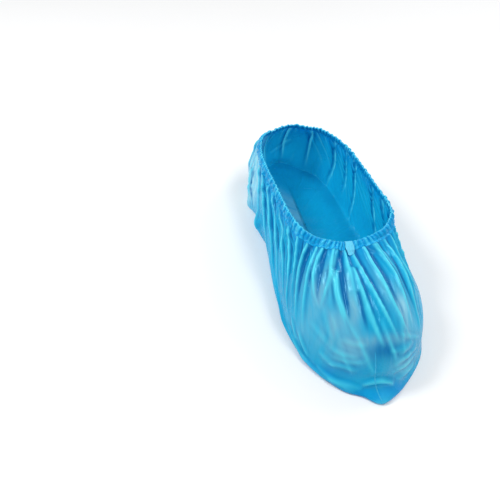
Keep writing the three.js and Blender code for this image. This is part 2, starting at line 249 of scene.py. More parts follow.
CREASES = (
    Crease((0.980, 128.5), (1.010, 130.5), 2.0, 2.7, -4.0),
    Crease((0.950, 122.0), (0.981, 132.7), 1.6, 2.5, -1.0),
    Crease((0.946, 90.0), (0.974, 101.5), 1.4, 2.4, 1.0),
    Crease((0.952, 98.0), (0.982, 106.0), 1.2, 2.4, 2.0),
    Crease((0.948, 106.0), (0.976, 114.0), 1.2, 2.4, -1.0),
    Crease((0.958, 84.0), (0.984, 92.0), 0.9, 2.4, 1.5),
    Crease((0.936, 96.0), (0.956, 110.0), 1.2, 2.4, 0.0),
    Crease((1.012, 108.0), (1.044, 101.0), 1.4, 2.4, 2.0),
    Crease((1.010, 116.0), (1.042, 109.0), 1.4, 2.4, 2.0),
    Crease((1.014, 123.0), (1.048, 117.0), 1.2, 2.4, 2.0),
    Crease((1.004, 100.0), (1.030, 96.0), 0.9, 2.4, 2.0),
    Crease((0.902, 84.0), (0.924, 106.0), 1.5, 2.4, 0.0),
    Crease((0.884, 76.0), (0.900, 96.0), 1.4, 2.4, 0.0),
    Crease((0.630, 40.0), (0.652, 18.0), 0.8, 2.4, 0.0),
    Crease((0.636, 52.0), (0.664, 34.0), 0.8, 2.4, 0.0),
    Crease((0.962, 58.0), (0.990, 120.0), 0.9, 2.4, 0.0),
    Crease((1.000, 72.0), (1.012, 112.0), 1.0, 2.4, 0.0),
    Crease((0.918, 70.0), (0.952, 92.0), 0.9, 2.4, 0.0),
    Crease((1.052, 96.0), (1.020, 88.0), 0.9, 2.4, 0.0),
    Crease((0.944, 62.0), (0.972, 118.0), 0.9, 2.4, 1.0),
    Crease((0.930, 56.0), (0.962, 104.0), 0.8, 2.4, 0.0),
    Crease((0.984, 60.0), (1.000, 96.0), 0.8, 2.4, 0.0),
    Crease((1.030, 60.0), (1.020, 104.0), 0.8, 2.4, 0.0),
    Crease((0.936, 112.0), (0.976, 134.0), 1.5, 2.5, 1.0),
    Crease((1.014, 104.0), (1.036, 95.0), 1.3, 2.8, 1.0),
    Crease((1.008, 112.0), (1.030, 105.0), 1.3, 2.8, 1.0),
    Crease((1.006, 120.0), (1.030, 113.0), 1.3, 2.8, 1.0),
    Crease((1.012, 128.0), (1.040, 120.0), 1.3, 2.8, 1.0),
    Crease((0.896, 98.0), (0.952, 126.0), 1.3, 2.4, 0.0),
    Crease((0.880, 90.0), (0.924, 114.0), 1.1, 2.4, 0.0),
    Crease((0.480, 30.0), (0.530, 46.0), 1.5, 2.4, 3.0),
)


@dataclass(frozen=True)
class Swell:
    """A soft swell, or a hollow where its reach is negative, as wide and as high as given."""

    name: str
    turn: float
    distance: float
    reach: float
    across: float
    down: float


SWELLS = (
    Swell("toe_tail", 0.004, 141, 2.5, 14, 8),
    Swell("toe_tail_hollow", 0.000, 122, -1.6, 26, 4),
    Swell("heel_tail", 0.500, 66, 4.0, 15, 7),
    Swell("slack_at_the_heel", 0.648, 46, 4.5, 13, 20),
    Swell("slack_low_at_the_heel", 0.652, 64, 5.0, 7, 9),
    Swell("heel_hollow", 0.676, 54, -3.5, 5, 18),
    Swell("slack_behind_the_ball", 0.699, 58, 9.0, 10, 14),
    Swell("bulge_at_the_ball", 0.205, 20, 9.0, 40, 20),
    Swell("drawn_in_at_the_toe", 0.098, 68, -4.5, 26, 24),
    Swell("toe_box_flat", 0.985, 92, -1.5, 24, 14),
)


@dataclass(frozen=True)
class Patch:
    """A soft patch of one of four tones (painted shade, painted glow, a shoe tint with painted sheen,
    doubled film), by its place on the film and how wide and high it is.
    """

    tone: Tone
    turn: float
    distance: float
    across: float
    down: float
    strength: float
    slope: float = 0.0  # how far the patch's middle drops for each unit round the cover


# shoe tint patches with painted sheen lie over the toe; painted glow patches light the loose film at the
# heel and the toe's right side; painted shade patches darken the toe's middle and lower front; doubled
# patches lie low on the toe
PATCHES = (
    Patch(Tone.SHOE_TINT_AND_SHEEN, 0.968, 66, 10, 17, 0.95),
    Patch(Tone.SHOE_TINT_AND_SHEEN, 0.945, 74, 9, 14, 0.95),
    Patch(Tone.SHOE_TINT_AND_SHEEN, 1.010, 90, 40, 5, 0.85, 0.06),
    Patch(Tone.SHOE_TINT_AND_SHEEN, 0.968, 96, 22, 12, 0.70),
    Patch(Tone.SHOE_TINT_AND_SHEEN, 0.915, 60, 10, 26, 0.80),
    Patch(Tone.SHOE_TINT_AND_SHEEN, 0.922, 32, 9, 16, 0.75),
    Patch(Tone.SHOE_TINT_AND_SHEEN, 0.966, 44, 7, 18, 0.70),
    Patch(Tone.SHOE_TINT_AND_SHEEN, 0.880, 44, 9, 20, 0.40),
    Patch(Tone.SHOE_TINT_AND_SHEEN, 1.018, 44, 6, 20, 0.45),
    Patch(Tone.THIN, 1.036, 72, 8, 18, 1.35),
    Patch(Tone.THIN, 1.022, 116, 13, 10, 0.60),
    Patch(Tone.THIN, 0.646, 32, 26, 32, 1.60),
    Patch(Tone.PAINTED_SHADE, 0.997, 98, 13, 8, 0.85),
    Patch(Tone.PAINTED_SHADE, 0.968, 113, 16, 5, 0.25),
    Patch(Tone.DOUBLE, 0.996, 139, 34, 10, 1.40),
    Patch(Tone.DOUBLE, 0.930, 116, 40, 7, 0.70),
)


def through(a: Array, b: Array, c: Array, d: Array, f: Array) -> Array:
    """Follows a Catmull-Rom curve.

    Args:
        a: The value before the span.
        b: The value at its start.
        c: The value at its end.
        d: The value after it.
        f: How far along the span to read, from 0 to 1.

    Returns:
        The value there.
    """
    return 0.5 * (
        2 * b + (c - a) * f + (2 * a - 5 * b + 4 * c - d) * f**2 + (3 * b - a - 3 * c + d) * f**3
    )


def around_gap(a: Array, b: Array) -> Array:
    """Returns how far apart two turns are, the short way round."""
    return np.abs((a - b + 0.5) % 1.0 - 0.5)


def turn_from(a: Array, b: Array | float) -> Array:
    """Returns how far turn a is past turn b, the short way round."""
    return (a - b + 0.5) % 1.0 - 0.5


def smoothstep(x: Array) -> Array:
    """Returns a smooth rise from 0 to 1 as x goes from 0 to 1."""
    x = np.clip(x, 0.0, 1.0)
    return x * x * (3.0 - 2.0 * x)


@dataclass
class CoverForm:
    """The smooth worn form of the cover, read from the table of sections."""

    sections: tuple[Section, ...] = SECTIONS
    fine: int = 2880
    lean: float = 0.75  # how far a line of film drifts towards its even place round the belly
    table: Array = field(init=False)

    def __post_init__(self) -> None:
        """Lays the sections out as one row of numbers each."""
        rows = []
        for s in self.sections:
            heading = math.radians(s.heading)
            rows.append(
                [math.sin(heading), -math.cos(heading), s.spine_y, *s.rim, *s.shoulder, *s.belly, s.foot]
            )
        self.table = np.array(rows)

    def surface(self, turn: Array, place: Array) -> Array:
        """Reads the smooth outside of the film.

        Args:
            turn: How far round the cover, from 0 to 1.
            place: How far down it, from Place.RIM to Place.FOOT.

        Returns:
            The points, in table units.
        """
        count = len(self.table)
        along = (turn % 1.0) * count
        row = np.floor(along).astype(int) % count
        part = (along - np.floor(along))[..., None]
        near = [self.table[(row + k) % count] for k in (-1, 0, 1, 2)]
        read = through(*near, part)
        heading = read[..., :2] / np.linalg.norm(read[..., :2], axis=-1, keepdims=True)
        foot = np.stack([read[..., 9], 0.0 * read[..., 9]], -1)
        places = [read[..., 3:5], read[..., 5:7], read[..., 7:9], foot]
        ends = [2 * places[0] - places[1], *places, 2 * places[3] - places[2]]
        stack = np.stack(ends, -2)
        span = np.clip(np.floor(place).astype(int), 0, Place.BELLY.value)
        taken = [
            np.take_along_axis(stack, (span + k)[..., None, None].repeat(2, -1), -2)[..., 0, :]
            for k in range(4)
        ]
        reach = through(*taken, (place - span)[..., None])
        y = read[..., 2] + reach[..., 0] * heading[..., 1]
        return np.stack([reach[..., 0] * heading[..., 0], y, reach[..., 1]], -1)

    def shares(self, place: Place) -> Array:
        """Measures how the length round the form runs with the turn.

        Args:
            place: The line round the form to measure.

        Returns:
            The share of its length that lies before each fine turn.
        """
        turns = np.arange(self.fine) / self.fine
        points = self.surface(turns, np.full(self.fine, float(place.value)))
        steps = np.linalg.norm(np.roll(points, -1, 0) - points, axis=1)
        return np.concatenate([[0.0], np.cumsum(steps)]) / steps.sum()

    def lines(self, around: int, down: int) -> "FilmGrid":
        """Lays lines of film down the form, even round the rim and leaning to their even place below.

        Args:
            around: Lines round the cover.
            down: Steps down each line.

        Returns:
            The grid of film.
        """
        turns = np.arange(self.fine + 1) / self.fine
        share = np.arange(around) / around
        at_rim = np.interp(share, self.shares(Place.RIM), turns)
        at_belly = np.interp(share, self.shares(Place.BELLY), turns)
        drift = (at_belly - at_rim) * self.lean
        place = np.broadcast_to(np.linspace(0.0, 3.0, down + 1), (around, down + 1))
        for _ in range(2):
            turn = at_rim[:, None] + drift[:, None] * smoothstep(place / 2.2)
            points = self.surface(turn, place)
            lengths = path_lengths(points)
            even = np.linspace(0.0, 1.0, down + 1)
            place = np.array(
                [np.interp(even * row[-1], row, old) for row, old in zip(lengths, place)]
            )
        turn = at_rim[:, None] + drift[:, None] * smoothstep(place / 2.2)
        points = self.surface(turn, place)
        return FilmGrid(share, turn, path_lengths(points), points)


def path_lengths(points: Array) -> Array:
    """Returns the distance of each point from the start of its line."""
    steps = np.linalg.norm(np.diff(points, axis=1), axis=2)
    return np.concatenate([np.zeros((len(points), 1)), np.cumsum(steps, axis=1)], 1)


@dataclass
class FilmGrid:
    """Lines of film: for each point its turn, its distance down the film and its place."""

    share: Array
    turn: Array
    distance: Array
    points: Array

    def outward(self) -> Array:
        """Works out which way the film faces.

        Returns:
            The outward direction at every point, of length one.
        """
        across = np.roll(self.points, -1, 0) - np.roll(self.points, 1, 0)
        down = np.gradient(self.points, axis=1)
        normal = np.cross(down, across)
        return normal / np.linalg.norm(normal, axis=2, keepdims=True)

    def per_turn(self) -> Array:
        """Returns the length round the film for one whole turn, at every point."""
        steps = np.linalg.norm(np.roll(self.points, -1, 0) - np.roll(self.points, 1, 0), axis=2)
        return steps / around_gap(np.roll(self.turn, -1, 0), np.roll(self.turn, 1, 0))


def resample(values: Array, places: Array, axis: int) -> Array:
    """Reads an array smoothly between its rows.

    Args:
        values: The array.
        places: The row numbers to read, which may lie between rows.
        axis: The axis that the rows lie along.

    Returns:
        The array with one row for each place.
    """
    values = np.moveaxis(values, axis, 0)
    last = len(values) - 1
    row = np.clip(np.floor(places).astype(int), 0, last - 1)
    part = (places - row).reshape((-1,) + (1,) * (values.ndim - 1))
    near = [values[np.clip(row + k, 0, last)] for k in (-1, 0, 1, 2)]
    return np.moveaxis(through(*near, part), 0, axis)


# ---- Meshes ------------------------------------------------------------------------------------


@dataclass(frozen=True)
class Placing:
    """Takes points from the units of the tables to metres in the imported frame."""

    unit: float
    floor: float

    @classmethod
    def from_frame(cls) -> "Placing":
        """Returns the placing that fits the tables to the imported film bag."""
        low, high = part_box("film_bag")
        return cls((high.y - low.y) / FORM_LENGTH, low.z)

    def metres(self, points: Array) -> Array:
        """Returns the points in metres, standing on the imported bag's floor."""
        return points.reshape(-1, 3) * self.unit + np.array([0.0, 0.0, self.floor])


def grid_faces(around: int, rows: int, closed: bool = True) -> Array:
    """Lists the faces of a grid of points.

    Args:
        around: Lines of the grid.
        rows: Points on each line.
        closed: Whether the last line joins the first.

    Returns:
        The four corners of each face, outward side first.
    """
    index = np.arange(around * rows).reshape(around, rows)
    onward = np.roll(index, -1, 0)
    if not closed:
        index, onward = index[:-1], onward[:-1]
    corners = [index[:, :-1], index[:, 1:], onward[:, 1:], onward[:, :-1]]
    return np.stack(corners, -1).reshape(-1, 4)


def make_piece(name: str, points: Array, faces: Array) -> bpy.types.Object:
    """Makes a smooth-shaded mesh object.

    Args:
        name: The piece's name.
        points: Its points, in metres.
        faces: The four corners of each face.

    Returns:
        The object, linked to the scene.
    """
    mesh = bpy.data.meshes.new(name)
    mesh.vertices.add(len(points))
    mesh.vertices.foreach_set("co", np.ascontiguousarray(points, dtype=np.float32).ravel())
    mesh.loops.add(faces.size)
    mesh.loops.foreach_set("vertex_index", faces.ravel())
    mesh.polygons.add(len(faces))
    mesh.polygons.foreach_set("loop_start", np.arange(len(faces)) * faces.shape[1])
    mesh.polygons.foreach_set("use_smooth", np.ones(len(faces), dtype=bool))
    mesh.update()
    mesh.validate()
    piece = bpy.data.objects.new(name, mesh)
    bpy.context.scene.collection.objects.link(piece)
    return piece


def paint(piece: bpy.types.Object, tone: Tone, values: Array) -> None:
    """Stores a mask from 0 to 1 on the points of a piece, for its finish to read."""
    mask = piece.data.attributes.new(name=tone.value, type="FLOAT", domain="POINT")
    mask.data.foreach_set("value", np.clip(values, 0.0, 1.0).astype(np.float32).ravel())


def film_place(share: Array, down: Array) -> Array:
    """Lays places on the film out on an upright tube, so that its grain can run down it.

    Args:
        share: The share of the mouth's length at each point.
        down: How far down the film each point is, in metres.

    Returns:
        The places, in metres.
    """
    angle = 2 * math.pi * share
    return np.stack([ROUND * np.cos(angle), ROUND * np.sin(angle), -down], -1)


def lay_out(piece: bpy.types.Object, places: Array) -> None:
    """Stores each point's place on the flat film, which the grain of its finish follows."""
    kept = piece.data.attributes.new(name="film_place", type="FLOAT_VECTOR", domain="POINT")
    kept.data.foreach_set("vector", np.ascontiguousarray(places, dtype=np.float32).ravel())


def smoothed(points: Array, passes: int) -> Array:
    """Evens points out along the mouth.

    Args:
        points: The points, one line of film after another.
        passes: How often they are evened out.

    Returns:
        The evened points.
    """
    for _ in range(passes):
        points = (np.roll(points, 1, 0) + 2 * points + np.roll(points, -1, 0)) / 4
    return points


def hand_over(piece: bpy.types.Object, node: str | None = None) -> bpy.types.Object:
    """Puts a finished piece on the cover's body.

    Args:
        piece: The piece.
        node: The CAD node that the piece stands for, if it stands for one.

    Returns:
        The piece.
    """
    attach(piece, "root")
    if node:
        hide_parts(node)
    log.info("%s: %d faces", piece.name, len(piece.data.polygons))
    return piece


# ---- The film bag ------------------------------------------------------------------------------


@dataclass(frozen=True)
class Tail:
    """A flattened corner of the bag that stands out past the shoe, low on the film."""

    share: float
    reach: float
    half_width: float
    height: float


@dataclass(frozen=True)
class Puckers:
    """The gathers that the elastic draws the mouth into, uneven in width and in height.

    Each gather of the film carries two small puffs of the hem above it.
    """

    count: int = 60
    tab_share: float = 0.9917
    tab_half_width: float = 0.0115
    seed: int = 7

    def phase(self, share: Array) -> Array:
        """Returns the angle that the gathers have run through, one full circle for each."""
        a = 2 * math.pi * share
        return self.count * a + np.sin(3 * a) + 1.26 * np.sin(7 * a + 1) + 0.94 * np.sin(17 * a + 2)

    def chances(self, share: Array) -> Array:
        """Returns three numbers from 0 to 1 for the gather that each place is part of."""
        number = np.floor(self.phase(share) / (2 * math.pi) + 0.5).astype(int) % self.count
        return np.random.default_rng(self.seed).random((self.count, 3))[number]

    def puff(self, share: Array, slant: float = 0.0) -> Array:
        """Reads how far the hem bulges.

        Args:
            share: The share of the mouth's length.
            slant: A shift of the puffs, in puffs.

        Returns:
            The bulge, from 0 in a crease to about 1.
        """
        half = self.phase(share) / math.pi + slant
        number = np.floor(half + 0.5).astype(int) % (2 * self.count)
        uneven = 0.35 + 0.65 * np.random.default_rng(self.seed + 1).random(2 * self.count)[number]
        return np.abs(np.cos(math.pi * half)) ** 0.7 * uneven

    def calm(self, share: Array) -> Array:
        """Returns how free the gathers are: 0 under the middle of the tab, 1 well away from it."""
        return 1.0 - np.exp(-((around_gap(share, self.tab_share) / self.tab_half_width) ** 4))


@dataclass
class FilmBag:
    """The bag of thin film that wraps the shoe from its mouth to under its sole."""

    form: CoverForm
    placing: Placing
    puckers: Puckers
    around: int = 720
    down: int = 104
    sole_rows: int = 14
    gather_height: float = 4.2
    gather_fade: float = 36.0
    gather_sharpness: float = 2.2
    gather_drift: float = 0.0016  # turn by which the side gathers run forward for each unit down
    crest: float = 0.9  # roundness of a fold's crest
    steep_side: float = 0.6  # a fold's width past its crest, and before it, for each unit of width
    slack_side: float = 1.3
    pleated: tuple[float, float] = (0.95, 0.19)  # turn round which the long folds take over, and reach
    tab_fade: float = 20.0  # distance below the mouth at which the film is free of the tab
    pucker_height: float = 1.1
    pucker_fade: float = 9.0  # distance below the mouth over which the hem's puckers fade
    crisp: float = 0.2  # share of a fold's height that stands up as a crisp line along its crest
    crisp_width: float = 1.6
    sole_edge: float = 5.0  # radius with which the film turns under the sole
    film_rest: float = 0.25  # height at which the film rests on the floor
    sole_seam: tuple[float, float] = (-105.0, 115.0)
    double_reach: float = 15.0  # distance below the mouth over which the bunched film looks double
    # the painted highlight and painted shade of a fold this high show at full strength
    strong_fold: float = 3.6  # height of a fold that shows at full strength
    tails: tuple[Tail, ...] = (
        Tail(0.9965, 6.5, 4.0, 7.0),
        Tail(0.011, 3.5, 7.0, 7.0),
        Tail(0.974, 3.2, 7.0, 6.0),
        Tail(0.5, 8.0, 13.0, 11.0),
    )
    sheet: FilmGrid = field(init=False)

    def relief(self, grid: FilmGrid) -> Array:
        """Reads how far the gathers, folds and swells stand out of the smooth form.

        Args:
            grid: The film, on the smooth form.

        Returns:
            The height at every point.
        """
        height = np.zeros_like(grid.distance)
        per_turn = grid.per_turn()
        for fold in FOLDS:
            off, arch = fold.read(grid, per_turn)
            width = fold.width * np.where(off > 0.0, self.steep_side, self.slack_side)
            across = np.exp(-(np.sqrt(off**2 + self.crest**2) - self.crest) / width)
            height += fold.height * across * arch
        for crease in CREASES:
            off, arch = crease.read(grid, per_turn)
            height += crease.height * np.exp(-((off / crease.width) ** 2)) * arch
        for swell in SWELLS:
            off = around_gap(grid.turn, swell.turn) * per_turn / swell.across
            drop = (grid.distance - swell.distance) / swell.down
            height += swell.reach * np.exp(-(off**2) - drop**2)
        calm = self.puckers.calm(grid.share)[:, None]
        fade = np.exp(-grid.distance / self.tab_fade)
        return (height + self.gather_relief(grid)) * (1.0 - (1.0 - calm) * fade)

    def gather_relief(self, grid: FilmGrid) -> Array:
        """Draws the gathers that run down from the mouth and fade unevenly.

        Args:
            grid: The film, on the smooth form.

        Returns:
            Their height at every point.
        """
        drift = self.gather_drift * np.sin(2 * math.pi * grid.share)[:, None]
        share = (grid.share[:, None] + drift * grid.distance) % 1.0
        chance = self.puckers.chances(share)
        tall = self.gather_height * (0.4 + 0.6 * chance[..., 0])
        fade = self.gather_fade * (0.35 + 1.0 * chance[..., 1])
        crest = np.exp(self.gather_sharpness * (np.cos(self.puckers.phase(share)) - 1.0)) - 0.3
        drawn = 0.22 + 0.78 * smoothstep((grid.distance - 3.0) / 9.0)
        middle, reach = self.pleated
        taken_over = np.exp(-((turn_from(grid.turn, middle) / reach) ** 4))
        left = 1.0 - 0.65 * taken_over * smoothstep((grid.distance - 4.0) / 12.0)
        return tall * crest * drawn * left * np.exp(-grid.distance / fade)

    def turned_under(self, grid: FilmGrid, points: Array, tails: bool) -> Array:
        """Rounds the film in under the sole, and draws out its corners.

        Args:
            grid: The film, on the smooth form.
            points: The points to change.
            tails: Whether the corners of the bag are drawn out.

        Returns:
            The changed points.
        """
        left = self.sole_edge - np.clip(grid.points[..., 2], 0.0, self.sole_edge)
        reach = np.sqrt(self.sole_edge**2 - left**2) - self.sole_edge
        length = np.linalg.norm(np.roll(grid.points[:, 0], -1, 0) - grid.points[:, 0], axis=1).sum()
        for tail in self.tails if tails else ():
            off = around_gap(grid.share, tail.share) * length / tail.half_width
            low = grid.points[..., 2] / tail.height
            reach = reach + tail.reach * np.exp(-(off[:, None] ** 2) - low**2)
        heading = grid.outward() * np.array([1.0, 1.0, 0.0])
        heading /= np.linalg.norm(heading, axis=2, keepdims=True)
        return points + heading * reach[..., None]

    def dressed(self) -> FilmGrid:
        """Dresses the form in its film.

        Returns:
            The film as it is put on, before it settles.
        """
        grid = self.form.lines(self.around, self.down)
        points = grid.points + grid.outward() * self.relief(grid)[..., None]
        points = self.turned_under(grid, points, tails=True)
        return FilmGrid(grid.share, grid.turn, grid.distance, points)

    def detailed(self, settled: FilmGrid) -> FilmGrid:
        """Adds the small puckers under the hem and the crisp lines along the folds.

        Args:
            settled: The settled film.

        Returns:
            The finished film.
        """
        fine = FilmGrid(settled.share, settled.turn, settled.distance, settled.points.copy())
        puff = self.puckers.puff(fine.share) * self.puckers.calm(fine.share)
        small = self.pucker_height * (puff - 0.4)[:, None] * np.exp(-fine.distance / self.pucker_fade)
        per_turn = fine.per_turn()
        for fold in FOLDS:
            off, arch = fold.read(fine, per_turn)
            small = small + self.crisp * fold.height * np.exp(-((off / self.crisp_width) ** 2)) * arch
        fine.points = fine.points + fine.outward() * small[..., None]
        fine.points[..., 2] = np.maximum(fine.points[..., 2], self.film_rest)
        return fine

    def with_sole(self, fine: FilmGrid) -> tuple[Array, Array]:
        """Closes the film under the shoe, along the middle of the sole.

        Args:
            fine: The finished film.

        Returns:
            All points and faces of the bag.
        """
        count = self.around
        half = count // 2
        spine = np.zeros((half + 1, 3))
        spine[:, 1] = np.linspace(*self.sole_seam, half + 1)
        meets = np.minimum(np.arange(count), count - np.arange(count))
        foot = fine.points[:, -1]
        share = (np.arange(1, self.sole_rows) / self.sole_rows)[None, :, None]
        under = foot[:, None] + (spine[meets][:, None] - foot[:, None]) * share
        ripple = 0.35 * np.sin(under[..., 1] * 0.31 + 1.7 * np.sin(under[..., 0] * 0.13))
        under[..., 2] = (0.35 + ripple) * np.sin(math.pi * share[..., 0]) ** 0.5 + self.film_rest
        lines = np.concatenate([fine.points, under], 1)
        rows = lines.shape[1]
        ends = np.arange(count) * rows + rows - 1
        middle = count * rows + meets
        closing = np.stack([ends, middle, np.roll(middle, -1), np.roll(ends, -1)], -1)
        points = np.concatenate([lines.reshape(-1, 3), spine + np.array([0.0, 0.0, self.film_rest])])
        return points, np.concatenate([grid_faces(count, rows), closing])

    def masks(self, fine: FilmGrid) -> dict[Tone, Array]:
        """Works out where the film takes painted shade, painted highlights, a painted glow, a shoe tint
        with painted sheen and the deeper tone of film lying double.

        Args:
            fine: The finished film.

        Returns:
            A mask for each tone, over the wall's points.
        """
        outward = fine.outward()
        near = ((fine.points - smoothed(fine.points, 10)) * outward).sum(2)
        far = ((fine.points - smoothed(fine.points, 50)) * outward).sum(2)
        # painted shade in the hollows of the film's relief and painted highlight on its rises; the doubled
        # tone near the mouth is the bunched film's own
        masks = {
            Tone.PAINTED_SHADE: 0.5 * smoothstep(-near / 0.7) + 0.5 * smoothstep(-far / 1.8),
            Tone.PAINTED_HIGHLIGHT: 0.4 * smoothstep((near - 0.1) / 0.6) + 0.15 * smoothstep((far - 0.3) / 1.6),
            Tone.SHOE_TINT_AND_SHEEN: np.zeros_like(near),
            Tone.THIN: np.zeros_like(near),
            Tone.DOUBLE: 0.9 * np.exp(-((fine.distance / self.double_reach) ** 2)),
        }
        per_turn = fine.per_turn()
        for fold in FOLDS:
            off, arch = fold.read(fine, per_turn)
            strong = arch * fold.height / self.strong_fold
            # painted highlight along each fold's crest, painted shade just past its steep side and along
            # each valley fold
            masks[Tone.PAINTED_HIGHLIGHT] += 0.8 * np.clip(strong, 0, 1) * np.exp(-((off / 1.2) ** 2))
            masks[Tone.PAINTED_SHADE] += 0.6 * np.clip(strong, 0, 1) * np.exp(-(((off - 3.0) / 1.5) ** 2))
            masks[Tone.PAINTED_SHADE] += 0.6 * np.clip(-strong, 0, 1) * np.exp(-((off / 3.0) ** 2))
        for crease in CREASES:
            off, arch = crease.read(fine, per_turn)
            # painted highlight along each crease, painted shade beside it
            masks[Tone.PAINTED_HIGHLIGHT] += 0.26 * crease.height * arch * np.exp(-((off / 1.6) ** 2))
            masks[Tone.PAINTED_SHADE] += 0.14 * crease.height * arch * np.exp(-(((off - 3.6) / 1.5) ** 2))
        # patches of painted shade, painted glow, shoe tint with painted sheen and doubled film
        for patch in PATCHES:
            off = turn_from(fine.turn, patch.turn) * per_turn
            drop = (fine.distance - patch.distance - patch.slope * off) / patch.down
            masks[patch.tone] += patch.strength * np.exp(-((off / patch.across) ** 2) - drop**2)
        return masks

    def build(self, settle: "Settling") -> bpy.types.Object:
        """Makes the bag.

        Args:
            settle: How the film settles over the shoe's form.

        Returns:
            The piece.
        """
        start = self.dressed()
        self.sheet = self.detailed(settle.run(start, self))
        points, faces = self.with_sole(self.sheet)
        piece = make_piece("film_bag_skin", self.placing.metres(points), faces)
        spine = len(points) - len(self.sheet.share) * (self.sheet.points.shape[1] + self.sole_rows - 1)
        # stores the masks of painted shade, painted highlight, painted glow, shoe tint with painted sheen
        # and doubled film, the sole taking each line's last value
        for tone, mask in self.masks(self.sheet).items():
            lines = np.concatenate([mask, np.repeat(mask[:, -1:], self.sole_rows - 1, 1)], 1)
            paint(piece, tone, np.concatenate([lines.ravel(), np.zeros(spine)]))
        lines = points[:-spine].reshape(len(self.sheet.share), -1, 3)
        down = path_lengths(lines)
        share = np.broadcast_to(self.sheet.share[:, None], down.shape)
        place = film_place(share, down * self.placing.unit)
        lay_out(piece, np.concatenate([place.reshape(-1, 3), place[: spine, -1]]))
        return hand_over(piece, "film_bag")


@dataclass
class Settling:
    """How the film crumples as it settles over the shoe that it covers.

    The film is simulated larger than it is, which suits the solver's own distances, and grows a little
    as it settles, because a loose bag holds more film than the form it wraps.
    """

    scale: float = 10.0
    frames: int = 11
    growth: float = 0.008
    growth_reach: float = 80.0  # distance below the mouth at which the film stops growing
    least_growth: float = 0.15
    inset: float = 3.5  # how far the shoe lies inside the smooth form
    inner_around: int = 240
    inner_down: int = 80
    evening: int = 8  # passes that even out how far the film has moved, which keeps its folds crisp

    def inner_form(self, bag: FilmBag) -> bpy.types.Object:
        """Makes the shoe's form, which the film meets.

        Args:
            bag: The bag that settles over it.

        Returns:
            The form, which is taken away when the film has settled.
        """
        grid = bag.form.lines(self.inner_around, self.inner_down)
        points = bag.turned_under(grid, grid.points, tails=False)
        moved = FilmGrid(grid.share, grid.turn, grid.distance, points)
        points = points - moved.outward() * self.inset
        faces = grid_faces(self.inner_around, self.inner_down + 1)
        inner = make_piece("inner_form", points.reshape(-1, 3) * self.step(bag), faces)
        inner.modifiers.new("meets_film", "COLLISION")
        inner.collision.thickness_outer = 0.5 * self.step(bag)
        inner.collision.cloth_friction = 5.0
        return inner

    def step(self, bag: FilmBag) -> float:
        """Returns the simulated length of one table unit."""
        return bag.placing.unit * self.scale

    def weigh(self, film: bpy.types.Object, name: str, weights: Array) -> None:
        """Gives the film's points their weights in a named group.

        Args:
            film: The film.
            name: The group's name.
            weights: The weight of every point, from 0 to 1.
        """
        group = film.vertex_groups.new(name=name)
        rounded = np.round(weights.ravel(), 2)
        for weight in np.unique(rounded):
            group.add([int(i) for i in np.nonzero(rounded == weight)[0]], float(weight), "REPLACE")

    def dress_cloth(self, film: bpy.types.Object, bag: FilmBag) -> None:
        """Sets the film up as cloth that bends freely and hardly stretches.

        Args:
            film: The film.
            bag: The bag that it belongs to.
        """
        cloth = film.modifiers.new("settling", "CLOTH")
        film_settings = cloth.settings
        film_settings.quality = 6
        film_settings.mass = 0.3
        film_settings.tension_stiffness = 60.0
        film_settings.compression_stiffness = 60.0
        film_settings.shear_stiffness = 30.0
        film_settings.bending_model = "ANGULAR"
        film_settings.bending_stiffness = 0.5
        film_settings.tension_damping = 15.0
        film_settings.compression_damping = 15.0
        film_settings.shear_damping = 10.0
        film_settings.bending_damping = 0.5
        film_settings.air_damping = 2.0
        film_settings.vertex_group_mass = "held"
        film_settings.vertex_group_shrink = "grows"
        film_settings.shrink_min = 0.0
        film_settings.shrink_max = -self.growth
        contact = cloth.collision_settings
        contact.collision_quality = 2
        contact.distance_min = 0.4 * self.step(bag)
        contact.use_self_collision = False
        cloth.point_cache.frame_start = 1
        cloth.point_cache.frame_end = self.frames

    def run(self, start: FilmGrid, bag: FilmBag) -> FilmGrid:
        """Lets the film settle.

        Args:
            start: The film as it is put on.
            bag: The bag that it belongs to.

        Returns:
            The settled film.
        """
        lines, rows = start.distance.shape
        points = start.points.reshape(-1, 3) * self.step(bag)
        film = make_piece("settling_film", points, grid_faces(lines, rows))
        held = np.zeros((lines, rows))
        held[:, [0, 1, -2, -1]] = 1.0
        self.weigh(film, "held", held)
        grows = np.clip(1.0 - (start.distance / self.growth_reach) ** 2, self.least_growth, 1.0)
        self.weigh(film, "grows", grows)
        inner = self.inner_form(bag)
        self.dress_cloth(film, bag)
        scene = bpy.context.scene
        for number in range(1, self.frames + 1):
            scene.frame_set(number)
        shape = film.evaluated_get(bpy.context.evaluated_depsgraph_get()).data
        settled = np.empty(len(shape.vertices) * 3, dtype=np.float32)
        shape.vertices.foreach_get("co", settled)
        for used in (film, inner):
            mesh = used.data
            bpy.data.objects.remove(used)
            bpy.data.meshes.remove(mesh)
        scene.frame_set(1)
        moved = settled.reshape(lines, rows, 3).astype(float) / self.step(bag) - start.points
        for _ in range(self.evening):
            moved = smoothed(moved, 1)
            moved[:, 1:-1] = (moved[:, :-2] + 2 * moved[:, 1:-1] + moved[:, 2:]) / 4
        log.info("film settled by up to %.1f units", np.abs(moved).max())
        return FilmGrid(start.share, start.turn, start.distance, start.points + moved)


# ---- The mouth's edge --------------------------------------------------------------------------


